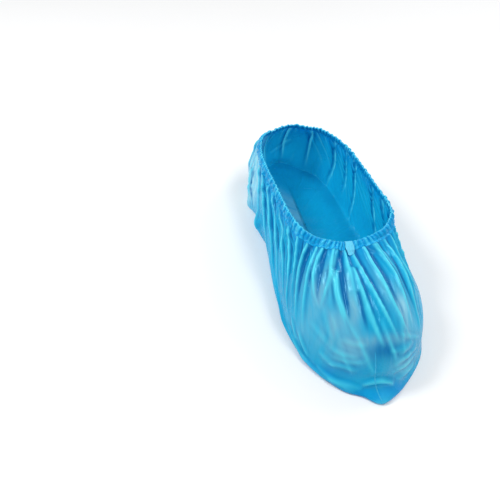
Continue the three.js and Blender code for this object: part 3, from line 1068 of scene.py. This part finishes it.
@dataclass
class MouthEdge:
    """The film's top edge, which the casing, the elastic and the tab are laid out from."""

    film: FilmGrid
    reach: int = 22  # rows of film below the edge that the pieces of the mouth can cover

    def length(self) -> float:
        """Returns the length round the mouth, without its small puckers."""
        rim = smoothed(self.film.points[:, 0], 20)
        return float(np.linalg.norm(np.roll(rim, -1, 0) - rim, axis=1).sum())

    def lines(self, share: Array) -> "EdgeLines":
        """Reads the edge at a row of places.

        Args:
            share: The shares of the mouth's length, which may pass 0 or 1.

        Returns:
            The film below those places, with the directions up and out.
        """
        count = len(self.film.share)
        top = self.film.points[:, : self.reach]
        drop = self.film.distance[:, : self.reach, None]
        wide = top.copy()
        for _ in range(10):
            wide = (np.roll(wide, 2, 0) + 2 * wide + np.roll(wide, -2, 0)) / 4
        stack = np.concatenate([top, drop, wide], 2)
        tall = np.concatenate([stack] * 3)
        read = resample(tall, count + share * count, 0)
        smooth = read[..., 4:]
        up = smooth[:, 0] - smooth[:, 6]
        up /= np.linalg.norm(up, axis=1, keepdims=True)
        ahead = resample(np.concatenate([wide[:, 0]] * 3), count + (share + 0.002) * count, 0)
        back = resample(np.concatenate([wide[:, 0]] * 3), count + (share - 0.002) * count, 0)
        out = np.cross(-up, ahead - back)
        out /= np.linalg.norm(out, axis=1, keepdims=True)
        return EdgeLines(read[..., :3], read[..., 3], up, out)


@dataclass
class EdgeLines:
    """Lines of film below the mouth's edge, with the directions up and out at the edge."""

    points: Array
    distance: Array
    up: Array
    out: Array

    def at(self, distance: Array, outward: Array) -> Array:
        """Reads points by their place against the film.

        Args:
            distance: How far below the edge, or above it where negative, for each line.
            outward: How far out of the film, for each line.

        Returns:
            The points.
        """
        below = np.maximum(distance, 0.0)
        base = np.stack(
            [
                [np.interp(b, d, p[:, axis]) for b, d, p in zip(below, self.distance, self.points)]
                for axis in range(3)
            ],
            -1,
        )
        rise = np.maximum(-distance, 0.0)[:, None]
        return base + self.up * rise + self.out * outward[:, None]


@dataclass
class ElasticCasing:
    """The hem: the film folded over the elastic and welded down, drawn into small puffs."""

    edge: MouthEdge
    placing: Placing
    puckers: Puckers
    around: int = 1920
    crown: float = 2.4
    crown_roundness: float = 0.6
    weld_depth: float = 4.0
    hem_depth: float = 5.8
    clearance: float = 0.2
    half_channel: float = 0.7
    channel_rise: float = 2.6  # height over the weld in which the channel opens
    film_middle: float = -0.5
    puff_height: float = 0.75
    scallop: float = 0.35
    flutter: float = 0.022
    waves: int = 40
    seed: int = 11

    def outline(self) -> Array:
        """Lists the casing's section.

        Returns:
            Rows of how far below the edge, and on which side (1 out, -1 in).
        """
        outer = [(self.hem_depth * (1 - k / 11), 1.0) for k in range(12)]
        turns = np.linspace(0.0, math.pi, 14)[1:-1]
        over = []
        for turn in turns:
            side = math.copysign(abs(math.cos(turn)) ** self.crown_roundness, math.cos(turn))
            over.append((-self.crown * math.sin(turn), side))
        return np.array(outer + over + [(depth, -side) for depth, side in reversed(outer)])

    def fullness(self, depth: float) -> float:
        """Returns how full the puffs are: pinched at the weld and low over the crown."""
        pinch = math.exp(-(((depth - self.weld_depth) / 0.9) ** 2))
        return (1.0 - 0.75 * pinch) * (0.45 if depth < -0.5 * self.crown else 1.0)

    def leaf(self, depth: float, side: float, puff: Array, flutter: Array) -> tuple[Array, Array]:
        """Lays out one line of the casing.

        Args:
            depth: How far below the film's edge it runs.
            side: On which side of the film, from 1 outside to -1 inside.
            puff: How far the hem bulges at each place.
            flutter: The unevenness of its free edge at each place.

        Returns:
            The depth and the distance out of the film, for each place.
        """
        room = float(smoothstep(np.array((self.weld_depth - depth) / self.channel_rise)))
        full = self.fullness(depth)
        outward = side * (self.clearance + self.half_channel * room) + self.film_middle * room
        outward = outward + side * self.puff_height * full * puff + flutter * full
        if depth >= 0.0 and side > 0:
            outward = np.maximum(outward, self.clearance)
        elif depth >= 0.0:
            outward = np.minimum(outward, -self.clearance)
        crest = self.scallop * puff * max(0.0, -depth / self.crown)
        edge = 0.5 * puff * max(0.0, (depth - self.weld_depth) / self.crown)
        return depth - crest + edge, outward

    def build(self) -> bpy.types.Object:
        """Makes the casing.

        Returns:
            The piece.
        """
        share = np.arange(self.around) / self.around
        lines = self.edge.lines(share)
        calm = self.puckers.calm(share)
        chance = np.random.default_rng(self.seed).normal(0.0, 1.0, (self.waves, 2))
        columns, puffs, places = [], [], []
        for depth, side in self.outline():
            flutter = sum(
                self.flutter * size * np.sin(2 * math.pi * (30 + 5 * k) * share + 3 * start + depth)
                for k, (size, start) in enumerate(chance)
            )
            slant = 0.03 * depth + (0.5 if side < 0 else 0.0)
            puff = self.puckers.puff(share, slant) * calm + 0.3 * (1 - calm)
            columns.append(lines.at(*self.leaf(depth, side, puff, flutter)))
            puffs.append(puff)
            places.append(film_place(share, np.full(self.around, depth * side * self.placing.unit)))
        grid = np.stack(columns, 1)
        piece = make_piece(
            "elastic_casing_film", self.placing.metres(grid), grid_faces(*grid.shape[:2])
        )
        height = -self.outline()[:, 0]
        top = smoothstep((height - 0.75 * self.crown) / (0.25 * self.crown))
        loose = smoothstep((-height - self.weld_depth) / 2.0)
        puff = np.stack(puffs, 1)
        # painted shade in the creases between the puffs, less of it on the loose edge below the weld;
        # painted highlight on the puffs, and a paler line along the crown's top
        paint(piece, Tone.PAINTED_SHADE, 0.7 - 1.1 * puff - 0.2 * loose)
        paint(piece, Tone.PAINTED_HIGHLIGHT, 0.7 * top + 0.45 * smoothstep((puff - 0.5) / 0.4))
        lay_out(piece, np.stack(places, 1).reshape(-1, 3))
        return hand_over(piece, "elastic_casing")


@dataclass
class ElasticBand:
    """The flat elastic in the casing, with its rubber threads showing as ribs."""

    edge: MouthEdge
    placing: Placing
    around: int = 720
    bottom: float = -0.9
    height: float = 2.3
    thickness: float = 0.8
    ribs: int = 5

    def section(self) -> Array:
        """Lists the band's section, whose two faces are ribbed by its threads.

        Returns:
            Rows of how far above the edge and how far out.
        """
        steps = self.ribs * 4
        rise = np.arange(steps + 1) / steps
        bulge = 0.08 * np.abs(np.sin(math.pi * self.ribs * rise))
        half = self.thickness / 2
        outer = np.stack([self.bottom + self.height * rise, half + bulge], 1)
        inner = np.stack([self.bottom + self.height * rise, -half - bulge], 1)
        return np.concatenate([outer, inner[::-1]])

    def build(self) -> bpy.types.Object:
        """Makes the band.

        Returns:
            The piece.
        """
        share = np.arange(self.around) / self.around
        lines = self.edge.lines(share)
        middle = 0.1 * np.sin(2 * math.pi * 40 * share) - 0.64
        section = self.section()
        columns = [lines.at(np.full(self.around, -up), middle + out) for up, out in section]
        grid = np.stack(columns, 1)
        faces = grid_faces(*grid.shape[:2])
        size = grid.shape[1]
        first = np.arange(self.around) * size
        last = first + size - 1
        closing = np.stack([last, first, np.roll(first, -1), np.roll(last, -1)], -1)
        faces = np.concatenate([faces, closing])[:, ::-1]
        piece = make_piece("elastic_threads", self.placing.metres(grid), faces)
        return hand_over(piece, "elastic_band")


def thick_sheet(outer: Array, inner: Array) -> tuple[Array, Array]:
    """Closes two like grids of points into one thin solid.

    Args:
        outer: The points of the outside, lines by rows.
        inner: The points of the inside.

    Returns:
        The points and faces.
    """
    lines, rows = outer.shape[:2]
    total = lines * rows
    front = grid_faces(lines, rows, closed=False)
    index = np.arange(total).reshape(lines, rows)
    loop = np.concatenate([index[0, :-1], index[:-1, -1], index[-1, :0:-1], index[:0:-1, 0]])
    onward = np.roll(loop, -1)
    rim = np.stack([onward, loop, loop + total, onward + total], -1)
    points = np.concatenate([outer.reshape(-1, 3), inner.reshape(-1, 3)])
    return points, np.concatenate([front, front[:, ::-1] + total, rim])


@dataclass
class JoinTab:
    """The pale patch in front where the ends of the elastic are welded into the casing."""

    edge: MouthEdge
    placing: Placing
    puckers: Puckers
    columns: int = 34
    rows: int = 72
    half_width: float = 3.7
    outside_depth: float = 11.0
    inside_depth: float = 2.4
    crown: float = 3.3
    stand_off: float = 2.0
    thickness: float = 0.35
    weld_pitch: float = 1.15
    weld_depth: float = 0.14

    def build(self) -> bpy.types.Object:
        """Makes the tab.

        Returns:
            The piece.
        """
        length = self.edge.length()
        across = np.linspace(-1.0, 1.0, self.columns)
        share = self.puckers.tab_share + across * self.half_width / length
        lines = self.edge.lines(share)
        way = np.linspace(0.0, 1.0, self.rows)
        run = self.outside_depth + self.inside_depth + math.pi * self.crown / 1.6
        columns = {1: [], 0: []}
        for part in way:
            travelled = part * run
            over = math.pi * self.crown / 1.6
            if travelled < self.outside_depth:
                depth, side = self.outside_depth - travelled, 1.0
            elif travelled < self.outside_depth + over:
                turn = math.pi * (travelled - self.outside_depth) / over
                depth, side = -self.crown * math.sin(turn), math.cos(turn)
            else:
                depth, side = travelled - self.outside_depth - over, -1.0
            narrow = 1.0 - 0.4 * smoothstep(np.array((depth - 3.0) / 7.5))
            sink = 0.9 * float(smoothstep(np.array((depth - 5.0) / 6.0)))
            crimp = np.cos(2 * math.pi * across * self.half_width / self.weld_pitch)
            crimp = crimp * math.cos(2 * math.pi * travelled / self.weld_pitch) * self.weld_depth
            curl = 0.2 * across**2 * math.sin(5.0 * part) + 0.18 * np.sin(3.1 * across + 9.0 * part)
            curl = curl + 0.12 * np.sin(7.3 * across - 17.0 * part) - 0.45 * across**4 - sink
            curl = curl + 0.5 * np.exp(-(((across - 0.25) / 0.22) ** 2))
            for leaf, inset in ((1, 0.0), (0, self.thickness)):
                off = side * (self.stand_off - inset + crimp + curl) - 0.5
                base = lines.at(np.full(self.columns, depth + (inset if depth < 0 else 0.0)), off)
                middle = base.mean(0)
                columns[leaf].append(middle + (base - middle) * narrow)
        outer, inner = (np.stack(columns[leaf], 1) for leaf in (1, 0))
        points, faces = thick_sheet(outer, inner)
        piece = make_piece("join_tab_patch", self.placing.metres(points), faces)
        lay_out(piece, self.placing.metres(points))
        return hand_over(piece, "join_tab")


@dataclass
class EndWeld:
    """A narrow crimped weld that closes an end of the bag, down its middle to the floor."""

    name: str
    film: FilmGrid
    placing: Placing
    share: float
    end_share: float
    start: float
    half_width: float = 0.55
    proud: float = 0.25
    pitch: float = 1.3
    rows: int = 260

    def build(self) -> bpy.types.Object:
        """Makes the weld.

        Returns:
            The piece.
        """
        count = len(self.film.share)
        per_line = np.linalg.norm(np.roll(self.film.points, -1, 0) - self.film.points, axis=2)
        row = int(round(self.share * count)) % count
        distance = np.linspace(self.start, self.film.distance[row, -1] - 0.3, self.rows)
        tall = np.concatenate([self.film.points] * 3)
        normals = np.concatenate([self.film.outward()] * 3)
        width = np.interp(distance, self.film.distance[row], per_line[row])
        down = np.interp(distance, self.film.distance[row], np.arange(self.film.points.shape[1]))
        fade = np.clip((distance - self.start) / 14.0, 0.0, 1.0)
        crimp = 0.5 + 0.5 * np.cos(2 * math.pi * distance / self.pitch)
        slide = (distance - self.start) / (distance[-1] - self.start)
        centre = (self.share + turn_from(self.end_share, self.share) * slide**4) * count
        lines = []
        for place in np.linspace(-1.0, 1.0, 7):
            column = count + centre + place * self.half_width * (0.25 + 0.75 * fade) / width
            low = np.floor(column).astype(int)
            part = (column - low)[:, None]
            read = []
            for values in (tall, normals):
                both = [resample_line(values[low + k], down) for k in (0, 1)]
                read.append(both[0] * (1 - part) + both[1] * part)
            lift = 0.12 + fade * (self.proud + 0.12 * crimp) * (1 - place**2)
            lines.append(read[0] + read[1] * lift[:, None])
        outer = np.stack(lines, 0)
        points = self.placing.metres(outer)
        piece = make_piece(self.name, points, grid_faces(*outer.shape[:2], closed=False))
        lay_out(piece, points)
        return hand_over(piece)


def resample_line(values: Array, places: Array) -> Array:
    """Reads each line of points at its own place down it.

    Args:
        values: One line of points for each place.
        places: The row to read on each line, which may lie between rows.

    Returns:
        One point for each place.
    """
    row = np.clip(np.floor(places).astype(int), 0, values.shape[1] - 2)
    part = (places - row)[:, None]
    each = np.arange(len(places))
    return values[each, row] * (1 - part) + values[each, row + 1] * part


# ---- Finishes ----------------------------------------------------------------------------------


@dataclass
class Graph:
    """Adds nodes to a shader tree and wires them as they are added."""

    tree: bpy.types.NodeTree

    def add(self, kind: str, feeds: dict | None = None, **settings: object) -> bpy.types.Node:
        """Adds a node.

        Args:
            kind: The node's type.
            feeds: What each input takes, by its name or number: a socket to join, or a value.
            **settings: The node's own settings.

        Returns:
            The node.
        """
        node = self.tree.nodes.new(kind)
        for name, value in settings.items():
            setattr(node, name, value)
        for name, value in (feeds or {}).items():
            if isinstance(value, bpy.types.NodeSocket):
                self.tree.links.new(value, node.inputs[name])
            else:
                node.inputs[name].default_value = value
        return node

    def math(self, operation: str, *values: object) -> bpy.types.NodeSocket:
        """Returns the result of a sum on sockets or numbers."""
        return self.add("ShaderNodeMath", dict(enumerate(values)), operation=operation).outputs[0]

    def blend(self, share: object, first: object, second: object) -> bpy.types.NodeSocket:
        """Returns a colour that goes from the first to the second with the share."""
        feeds = {"Factor": share, 6: first, 7: second}
        return self.add("ShaderNodeMix", feeds, data_type="RGBA").outputs[2]

    def ridge(self, noise: bpy.types.NodeSocket, sharpness: float) -> bpy.types.NodeSocket:
        """Draws thin raised lines where a noise passes its middle value.

        Args:
            noise: The noise, from 0 to 1.
            sharpness: How narrow the lines are.

        Returns:
            The height of the lines.
        """
        signed = self.math("MULTIPLY_ADD", noise, 2.0, -1.0)
        line = self.math("MULTIPLY_ADD", self.math("ABSOLUTE", signed), -sharpness, 1.0)
        return self.math("SMOOTH_MAX", line, 0.0, 0.3)

    def group(self, name: str, feeds: dict) -> bpy.types.Node:
        """Adds a node group.

        Args:
            name: The group's name.
            feeds: What each input takes, by its name: a socket to join, or a value.

        Returns:
            The node that stands for the group.
        """
        node = self.tree.nodes.new("ShaderNodeGroup")
        node.node_tree = bpy.data.node_groups[name]
        for socket, value in feeds.items():
            if isinstance(value, bpy.types.NodeSocket):
                self.tree.links.new(value, node.inputs[socket])
            else:
                node.inputs[socket].default_value = value
        return node


def new_group(name: str, takes: dict[str, object], gives: dict[str, str]) -> tuple[Graph, dict, dict]:
    """Starts a shader node group.

    Args:
        name: The group's name.
        takes: Its inputs, each with its first value: a number, a vector or a colour.
        gives: Its outputs, each with its kind of socket.

    Returns:
        The graph, the sockets that come in, and the sockets to feed.
    """
    tree = bpy.data.node_groups.new(name, "ShaderNodeTree")
    for socket, value in takes.items():
        kinds = {3: "NodeSocketVector", 4: "NodeSocketColor"}
        kind = kinds[len(value)] if isinstance(value, tuple) else "NodeSocketFloat"
        made = tree.interface.new_socket(name=socket, in_out="INPUT", socket_type=kind)
        made.default_value = value
    for socket, kind in gives.items():
        tree.interface.new_socket(name=socket, in_out="OUTPUT", socket_type=kind)
    graph = Graph(tree)
    entry = graph.add("NodeGroupInput").outputs
    leave = graph.add("NodeGroupOutput").inputs
    return graph, entry, leave


def make_crinkle_group() -> None:
    """Builds the grain of thin film: long soft wrinkles down it, and fine crumples here and there."""
    takes = {"Place": (0.0, 0.0, 0.0), "Scale": 110.0, "Crumple": 0.4}
    graph, entry, leave = new_group("film_crinkle", takes, {"Height": "NodeSocketFloat"})
    place = entry["Place"]
    drawn_out = graph.add("ShaderNodeMapping", {"Vector": place, "Scale": (1.0, 1.0, 0.24)}).outputs[0]
    wrinkles = {"Vector": drawn_out, "Scale": entry["Scale"], "Detail": 2.5, "Distortion": 0.5}
    long_noise = graph.add("ShaderNodeTexNoise", wrinkles).outputs["Fac"]
    long_folds = graph.ridge(long_noise, 3.0)
    small = graph.math("MULTIPLY", entry["Scale"], 3.2)
    crumples = {"Vector": place, "Scale": small, "Detail": 2.0, "Distortion": 1.2}
    fine_noise = graph.add("ShaderNodeTexNoise", crumples).outputs["Fac"]
    fine_folds = graph.ridge(fine_noise, 4.0)
    spread = {"Vector": place, "Scale": 38.0, "Detail": 1.0}
    where = graph.add("ShaderNodeTexNoise", spread).outputs["Fac"]
    some = graph.add("ShaderNodeMapRange", {"Value": where, "From Min": 0.48, "From Max": 0.66}).outputs[0]
    crumple = graph.math("MULTIPLY", graph.math("MULTIPLY", fine_folds, some), entry["Crumple"])
    graph.tree.links.new(graph.math("ADD", long_folds, crumple), leave["Height"])


def make_tone_group() -> None:
    """Builds the film's colour: uneven at random, deeper where it lies double, with painted shade in the
    valleys, painted highlights on the crests, a painted glow, and a greyish shoe tint with painted sheen.
    """
    blank = (0.5, 0.5, 0.5, 1.0)
    takes = dict.fromkeys(("Plain", "Deep", "Pale", "Taut", "Thin", "Double"), blank)
    takes |= dict.fromkeys(("Depth", "Crest", "Tautness", "Thinness", "Doubling"), 0.0)
    gives = {"Color": "NodeSocketColor", "Cloud": "NodeSocketFloat"}
    graph, entry, leave = new_group("film_tone", takes, gives)
    place = graph.add("ShaderNodeTexCoord").outputs["Object"]
    drifting = {"Vector": place, "Scale": 26.0, "Detail": 4.0, "Distortion": 0.6}
    drift = graph.add("ShaderNodeTexNoise", drifting).outputs["Fac"]
    cloud = graph.add("ShaderNodeMapRange", {"Value": drift, "From Min": 0.32, "From Max": 0.68}).outputs[0]
    grain = graph.add("ShaderNodeAttribute", attribute_name="film_place").outputs["Vector"]
    drawn_out = graph.add("ShaderNodeMapping", {"Vector": grain, "Scale": (1.0, 1.0, 0.3)}).outputs[0]
    streaks = {"Vector": drawn_out, "Scale": 75.0, "Detail": 3.0, "Distortion": 0.8}
    streak = graph.add("ShaderNodeTexNoise", streaks).outputs["Fac"]
    # a random cloud shifts the plain colour a little towards the shade colour
    base = graph.blend(graph.math("MULTIPLY", cloud, 0.25), entry["Plain"], entry["Deep"])
    reach = {"Value": streak, "From Min": 0.34, "From Max": 0.6, "To Min": 0.35, "To Max": 1.1}
    uneven = graph.add("ShaderNodeMapRange", reach).outputs[0]
    base = graph.blend(graph.math("MULTIPLY", entry["Doubling"], uneven), base, entry["Double"])
    # a shoe tint with painted sheen, then a painted glow, each broken up by the streaks
    base = graph.blend(graph.math("MULTIPLY", entry["Tautness"], uneven), base, entry["Taut"])
    base = graph.blend(graph.math("MULTIPLY", entry["Thinness"], uneven), base, entry["Thin"])
    # painted shade, then painted highlight along the crests, the highlight broken up by the streaks
    base = graph.blend(entry["Depth"], base, entry["Deep"])
    crest = graph.math("MULTIPLY", entry["Crest"], graph.math("ADD", 0.4, streak))
    base = graph.blend(crest, base, entry["Pale"])
    graph.tree.links.new(base, leave["Color"])
    graph.tree.links.new(cloud, leave["Cloud"])


@dataclass(frozen=True)
class FilmFinish:
    """A thin glossy plastic film that lets part of the light through, with painted shade, painted
    highlights, a painted glow and a shoe tint with painted sheen in its colour.
    """

    name: str
    plain: Colour
    # colour of the painted shade, which the random cloud also drifts towards
    deep: Colour
    # colour of the painted highlights on the crests
    pale: Colour
    # greyish tint of a shoe seen through stretched film, with painted sheen
    taut: Colour = (0.20, 0.56, 0.74)
    # colour of the painted glow, where light would shine through loose film
    thin: Colour = (0.40, 0.82, 0.95)
    double: Colour = (0.0, 0.32, 0.80)
    sheen: Colour = (0.32, 0.86, 1.0)
    roughness: float = 0.21
    glow: float = 0.2
    crinkle_scale: float = 110.0
    crinkle_lift: float = 0.00028
    crumple: float = 0.2
    gloss: float = 0.5

    def material(self) -> bpy.types.Material:
        """Makes the finish.

        Returns:
            The material.
        """
        made = bpy.data.materials.new(self.name)
        made.use_nodes = True
        made.node_tree.nodes.clear()
        graph = Graph(made.node_tree)
        shades = {
            "Plain": self.plain,
            "Deep": self.deep,
            "Pale": self.pale,
            "Taut": self.taut,
            "Thin": self.thin,
            "Double": self.double,
        }
        feeds = {socket: (*shade, 1.0) for socket, shade in shades.items()}
        masks = {
            "Depth": Tone.PAINTED_SHADE,
            "Crest": Tone.PAINTED_HIGHLIGHT,
            "Tautness": Tone.SHOE_TINT_AND_SHEEN,
            "Thinness": Tone.THIN,
            "Doubling": Tone.DOUBLE,
        }
        for socket, tone in masks.items():
            feeds[socket] = graph.add("ShaderNodeAttribute", attribute_name=tone.value).outputs["Fac"]
        tone = graph.group("film_tone", feeds)
        place = graph.add("ShaderNodeAttribute", attribute_name="film_place").outputs["Vector"]
        crinkle = graph.group(
            "film_crinkle", {"Place": place, "Scale": self.crinkle_scale, "Crumple": self.crumple}
        )
        bump = graph.add(
            "ShaderNodeBump",
            {"Height": crinkle.outputs["Height"], "Strength": 1.0, "Distance": self.crinkle_lift},
        ).outputs["Normal"]
        film = graph.add(
            "ShaderNodeBsdfPrincipled",
            {
                "Base Color": tone.outputs["Color"],
                "Roughness": graph.math("MULTIPLY_ADD", tone.outputs["Cloud"], 0.08, self.roughness),
                "Normal": bump,
                "Specular IOR Level": self.gloss,
                "Specular Tint": (*self.sheen, 1.0),
                "IOR": 1.5,
            },
        ).outputs[0]
        glow = graph.add(
            "ShaderNodeBsdfTranslucent", {"Color": tone.outputs["Color"], "Normal": bump}
        ).outputs[0]
        both = graph.add("ShaderNodeMixShader", {0: self.glow, 1: film, 2: glow}).outputs[0]
        graph.add("ShaderNodeOutputMaterial", {"Surface": both})
        return made


@dataclass(frozen=True)
class ElasticFinish:
    """White elastic: rubber threads side by side, slightly dusty."""

    name: str = "elastic"
    thread: Colour = (0.86, 0.9, 0.92)
    groove: Colour = (0.55, 0.62, 0.68)

    def material(self) -> bpy.types.Material:
        """Makes the finish.

        Returns:
            The material.
        """
        made = bpy.data.materials.new(self.name)
        made.use_nodes = True
        made.node_tree.nodes.clear()
        graph = Graph(made.node_tree)
        place = graph.add("ShaderNodeTexCoord").outputs["Object"]
        dust = {"Vector": place, "Scale": 900.0, "Detail": 5.0}
        grain = graph.add("ShaderNodeTexNoise", dust).outputs["Fac"]
        colour = graph.blend(grain, (*self.groove, 1.0), (*self.thread, 1.0))
        bump = graph.add("ShaderNodeBump", {"Height": grain, "Distance": 0.0001}).outputs["Normal"]
        rubber = graph.add(
            "ShaderNodeBsdfPrincipled", {"Base Color": colour, "Roughness": 0.7, "Normal": bump}
        ).outputs[0]
        graph.add("ShaderNodeOutputMaterial", {"Surface": rubber})
        return made


@dataclass(frozen=True)
class FloorFinish:
    """A plain pale floor with a faint mottle."""

    name: str = "floor"
    tint: Colour = (0.93, 0.935, 0.94)

    def material(self) -> bpy.types.Material:
        """Makes the finish.

        Returns:
            The material.
        """
        made = bpy.data.materials.new(self.name)
        made.use_nodes = True
        made.node_tree.nodes.clear()
        graph = Graph(made.node_tree)
        place = graph.add("ShaderNodeTexCoord").outputs["Object"]
        clouds = {"Vector": place, "Scale": 9.0, "Detail": 2.0}
        mottle = graph.add("ShaderNodeTexNoise", clouds).outputs["Fac"]
        dim = tuple(0.985 * part for part in self.tint)
        colour = graph.blend(mottle, (*dim, 1.0), (*self.tint, 1.0))
        paint_layer = graph.add(
            "ShaderNodeBsdfPrincipled", {"Base Color": colour, "Roughness": 0.9, "Specular IOR Level": 0.1}
        ).outputs[0]
        graph.add("ShaderNodeOutputMaterial", {"Surface": paint_layer})
        return made


FILM = FilmFinish(
    "blue_film",
    plain=(0.006, 0.51, 0.82),
    deep=(0.0, 0.16, 0.45),
    # painted highlight colour
    pale=(0.11, 0.84, 1.0),
)
CASING_FILM = FilmFinish(
    "blue_film_double",
    plain=(0.0, 0.42, 0.82),
    deep=(0.0, 0.20, 0.58),
    # painted highlight colour of the casing's puffs
    pale=(0.10, 0.76, 1.0),
    glow=0.1,
    crinkle_scale=260.0,
)
WELDED_FILM = FilmFinish(
    "welded_film",
    plain=(0.18, 0.76, 1.0),
    deep=(0.03, 0.52, 0.90),
    pale=(0.55, 0.95, 1.0),
    crinkle_scale=260.0,
    crumple=1.0,
)
SEAM_FILM = FilmFinish(
    "seamed_film",
    plain=(0.06, 0.58, 0.88),
    deep=(0.0, 0.34, 0.66),
    pale=(0.2, 0.78, 0.98),
    crinkle_scale=320.0,
)


def wear(piece: bpy.types.Object, material: bpy.types.Material) -> None:
    """Gives a piece its finish."""
    piece.data.materials.clear()
    piece.data.materials.append(material)


# ---- Studio ------------------------------------------------------------------------------------


@dataclass(frozen=True)
class SoftLight:
    """A soft square light, by where it stands round the cover, its size and its power."""

    name: str
    azimuth: float
    elevation: float
    distance: float
    size: float
    power: float
    tint: Colour = (1.0, 1.0, 1.0)


@dataclass
class Studio:
    """The floor, the lights and the camera."""

    placing: Placing
    azimuth: float = -17.5
    elevation: float = 45.4
    roll: float = 5.0
    distance: float = 600.0
    target: tuple[float, float, float] = (-72.4, 7.3, 19.9)
    lens: float = 45.41
    floor_size: float = 6.0
    lights: tuple[SoftLight, ...] = (
        SoftLight("key", -105.0, 50.0, 1.1, 0.30, 5.0),
        SoftLight("overhead", 40.0, 68.0, 1.1, 0.26, 3.0),
        SoftLight("rim", 115.0, 40.0, 1.2, 0.4, 3.0),
    )

    def heading(self, azimuth: float, elevation: float) -> Vector:
        """Returns the direction from the cover to a place round it."""
        a, e = math.radians(azimuth), math.radians(elevation)
        return Vector((math.sin(a) * math.cos(e), -math.cos(a) * math.cos(e), math.sin(e)))

    def build_floor(self) -> None:
        """Lays the floor that the cover stands on."""
        half = self.floor_size / 2
        corners = np.array([(-half, -half), (half, -half), (half, half), (-half, half)])
        points = np.concatenate([corners, np.full((4, 1), self.placing.floor)], 1)
        floor = make_piece("floor", points, np.array([[0, 1, 2, 3]]))
        wear(floor, FloorFinish().material())

    def build_lights(self) -> None:
        """Hangs the soft lights and sets the pale surroundings."""
        for light in self.lights:
            lamp = bpy.data.lights.new(light.name, "AREA")
            lamp.size = light.size
            lamp.energy = light.power
            lamp.color = light.tint
            stand = bpy.data.objects.new(light.name, lamp)
            way = self.heading(light.azimuth, light.elevation)
            stand.location = way * light.distance
            stand.rotation_euler = way.to_track_quat("Z", "Y").to_euler()
            bpy.context.scene.collection.objects.link(stand)
        world = bpy.data.worlds.new("surroundings")
        world.use_nodes = True
        sky = world.node_tree.nodes["Background"]
        sky.inputs["Color"].default_value = (1.0, 1.0, 1.0, 1.0)
        sky.inputs["Strength"].default_value = 0.55
        bpy.context.scene.world = world

    def build_camera(self) -> None:
        """Sets the camera."""
        back = self.heading(self.azimuth, self.elevation)
        level = Vector((math.cos(math.radians(self.azimuth)), math.sin(math.radians(self.azimuth)), 0.0))
        upright = back.cross(level)
        turn = math.radians(self.roll)
        right = level * math.cos(turn) + upright * math.sin(turn)
        up = upright * math.cos(turn) - level * math.sin(turn)
        place = Vector(self.target) + back * self.distance
        place = place * self.placing.unit + Vector((0.0, 0.0, self.placing.floor))
        lens = bpy.data.cameras.new("camera")
        lens.lens = self.lens
        camera = bpy.data.objects.new("camera", lens)
        facing = Matrix((right, up, back)).transposed().to_4x4()
        camera.matrix_world = Matrix.Translation(place) @ facing
        bpy.context.scene.collection.objects.link(camera)
        bpy.context.scene.camera = camera

    def build(self) -> None:
        """Makes the floor, the lights and the camera."""
        self.build_floor()
        self.build_lights()
        self.build_camera()
        bpy.context.scene.view_settings.view_transform = "Standard"


# ---- The whole cover ---------------------------------------------------------------------------


def main() -> None:
    """Builds the studio and the cover, piece by piece."""
    logging.basicConfig(level=logging.INFO, format="%(name)s: %(message)s")
    placing = Placing.from_frame()
    Studio(placing).build()
    make_crinkle_group()
    make_tone_group()

    puckers = Puckers()
    bag = FilmBag(CoverForm(), placing, puckers)
    film = bag.build(Settling())
    edge = MouthEdge(bag.sheet)
    casing = ElasticCasing(edge, placing, puckers).build()
    elastic = ElasticBand(edge, placing).build()
    tab = JoinTab(edge, placing, puckers).build()
    welds = [
        EndWeld("toe_weld", bag.sheet, placing, 0.9915, 1.0, 98.0).build(),
        EndWeld("heel_weld", bag.sheet, placing, 0.5, 0.5, 12.0).build(),
    ]

    wear(film, FILM.material())
    wear(casing, CASING_FILM.material())
    wear(elastic, ElasticFinish().material())
    wear(tab, WELDED_FILM.material())
    seam = SEAM_FILM.material()
    for weld in welds:
        wear(weld, seam)


if __name__ == "__main__":
    main()
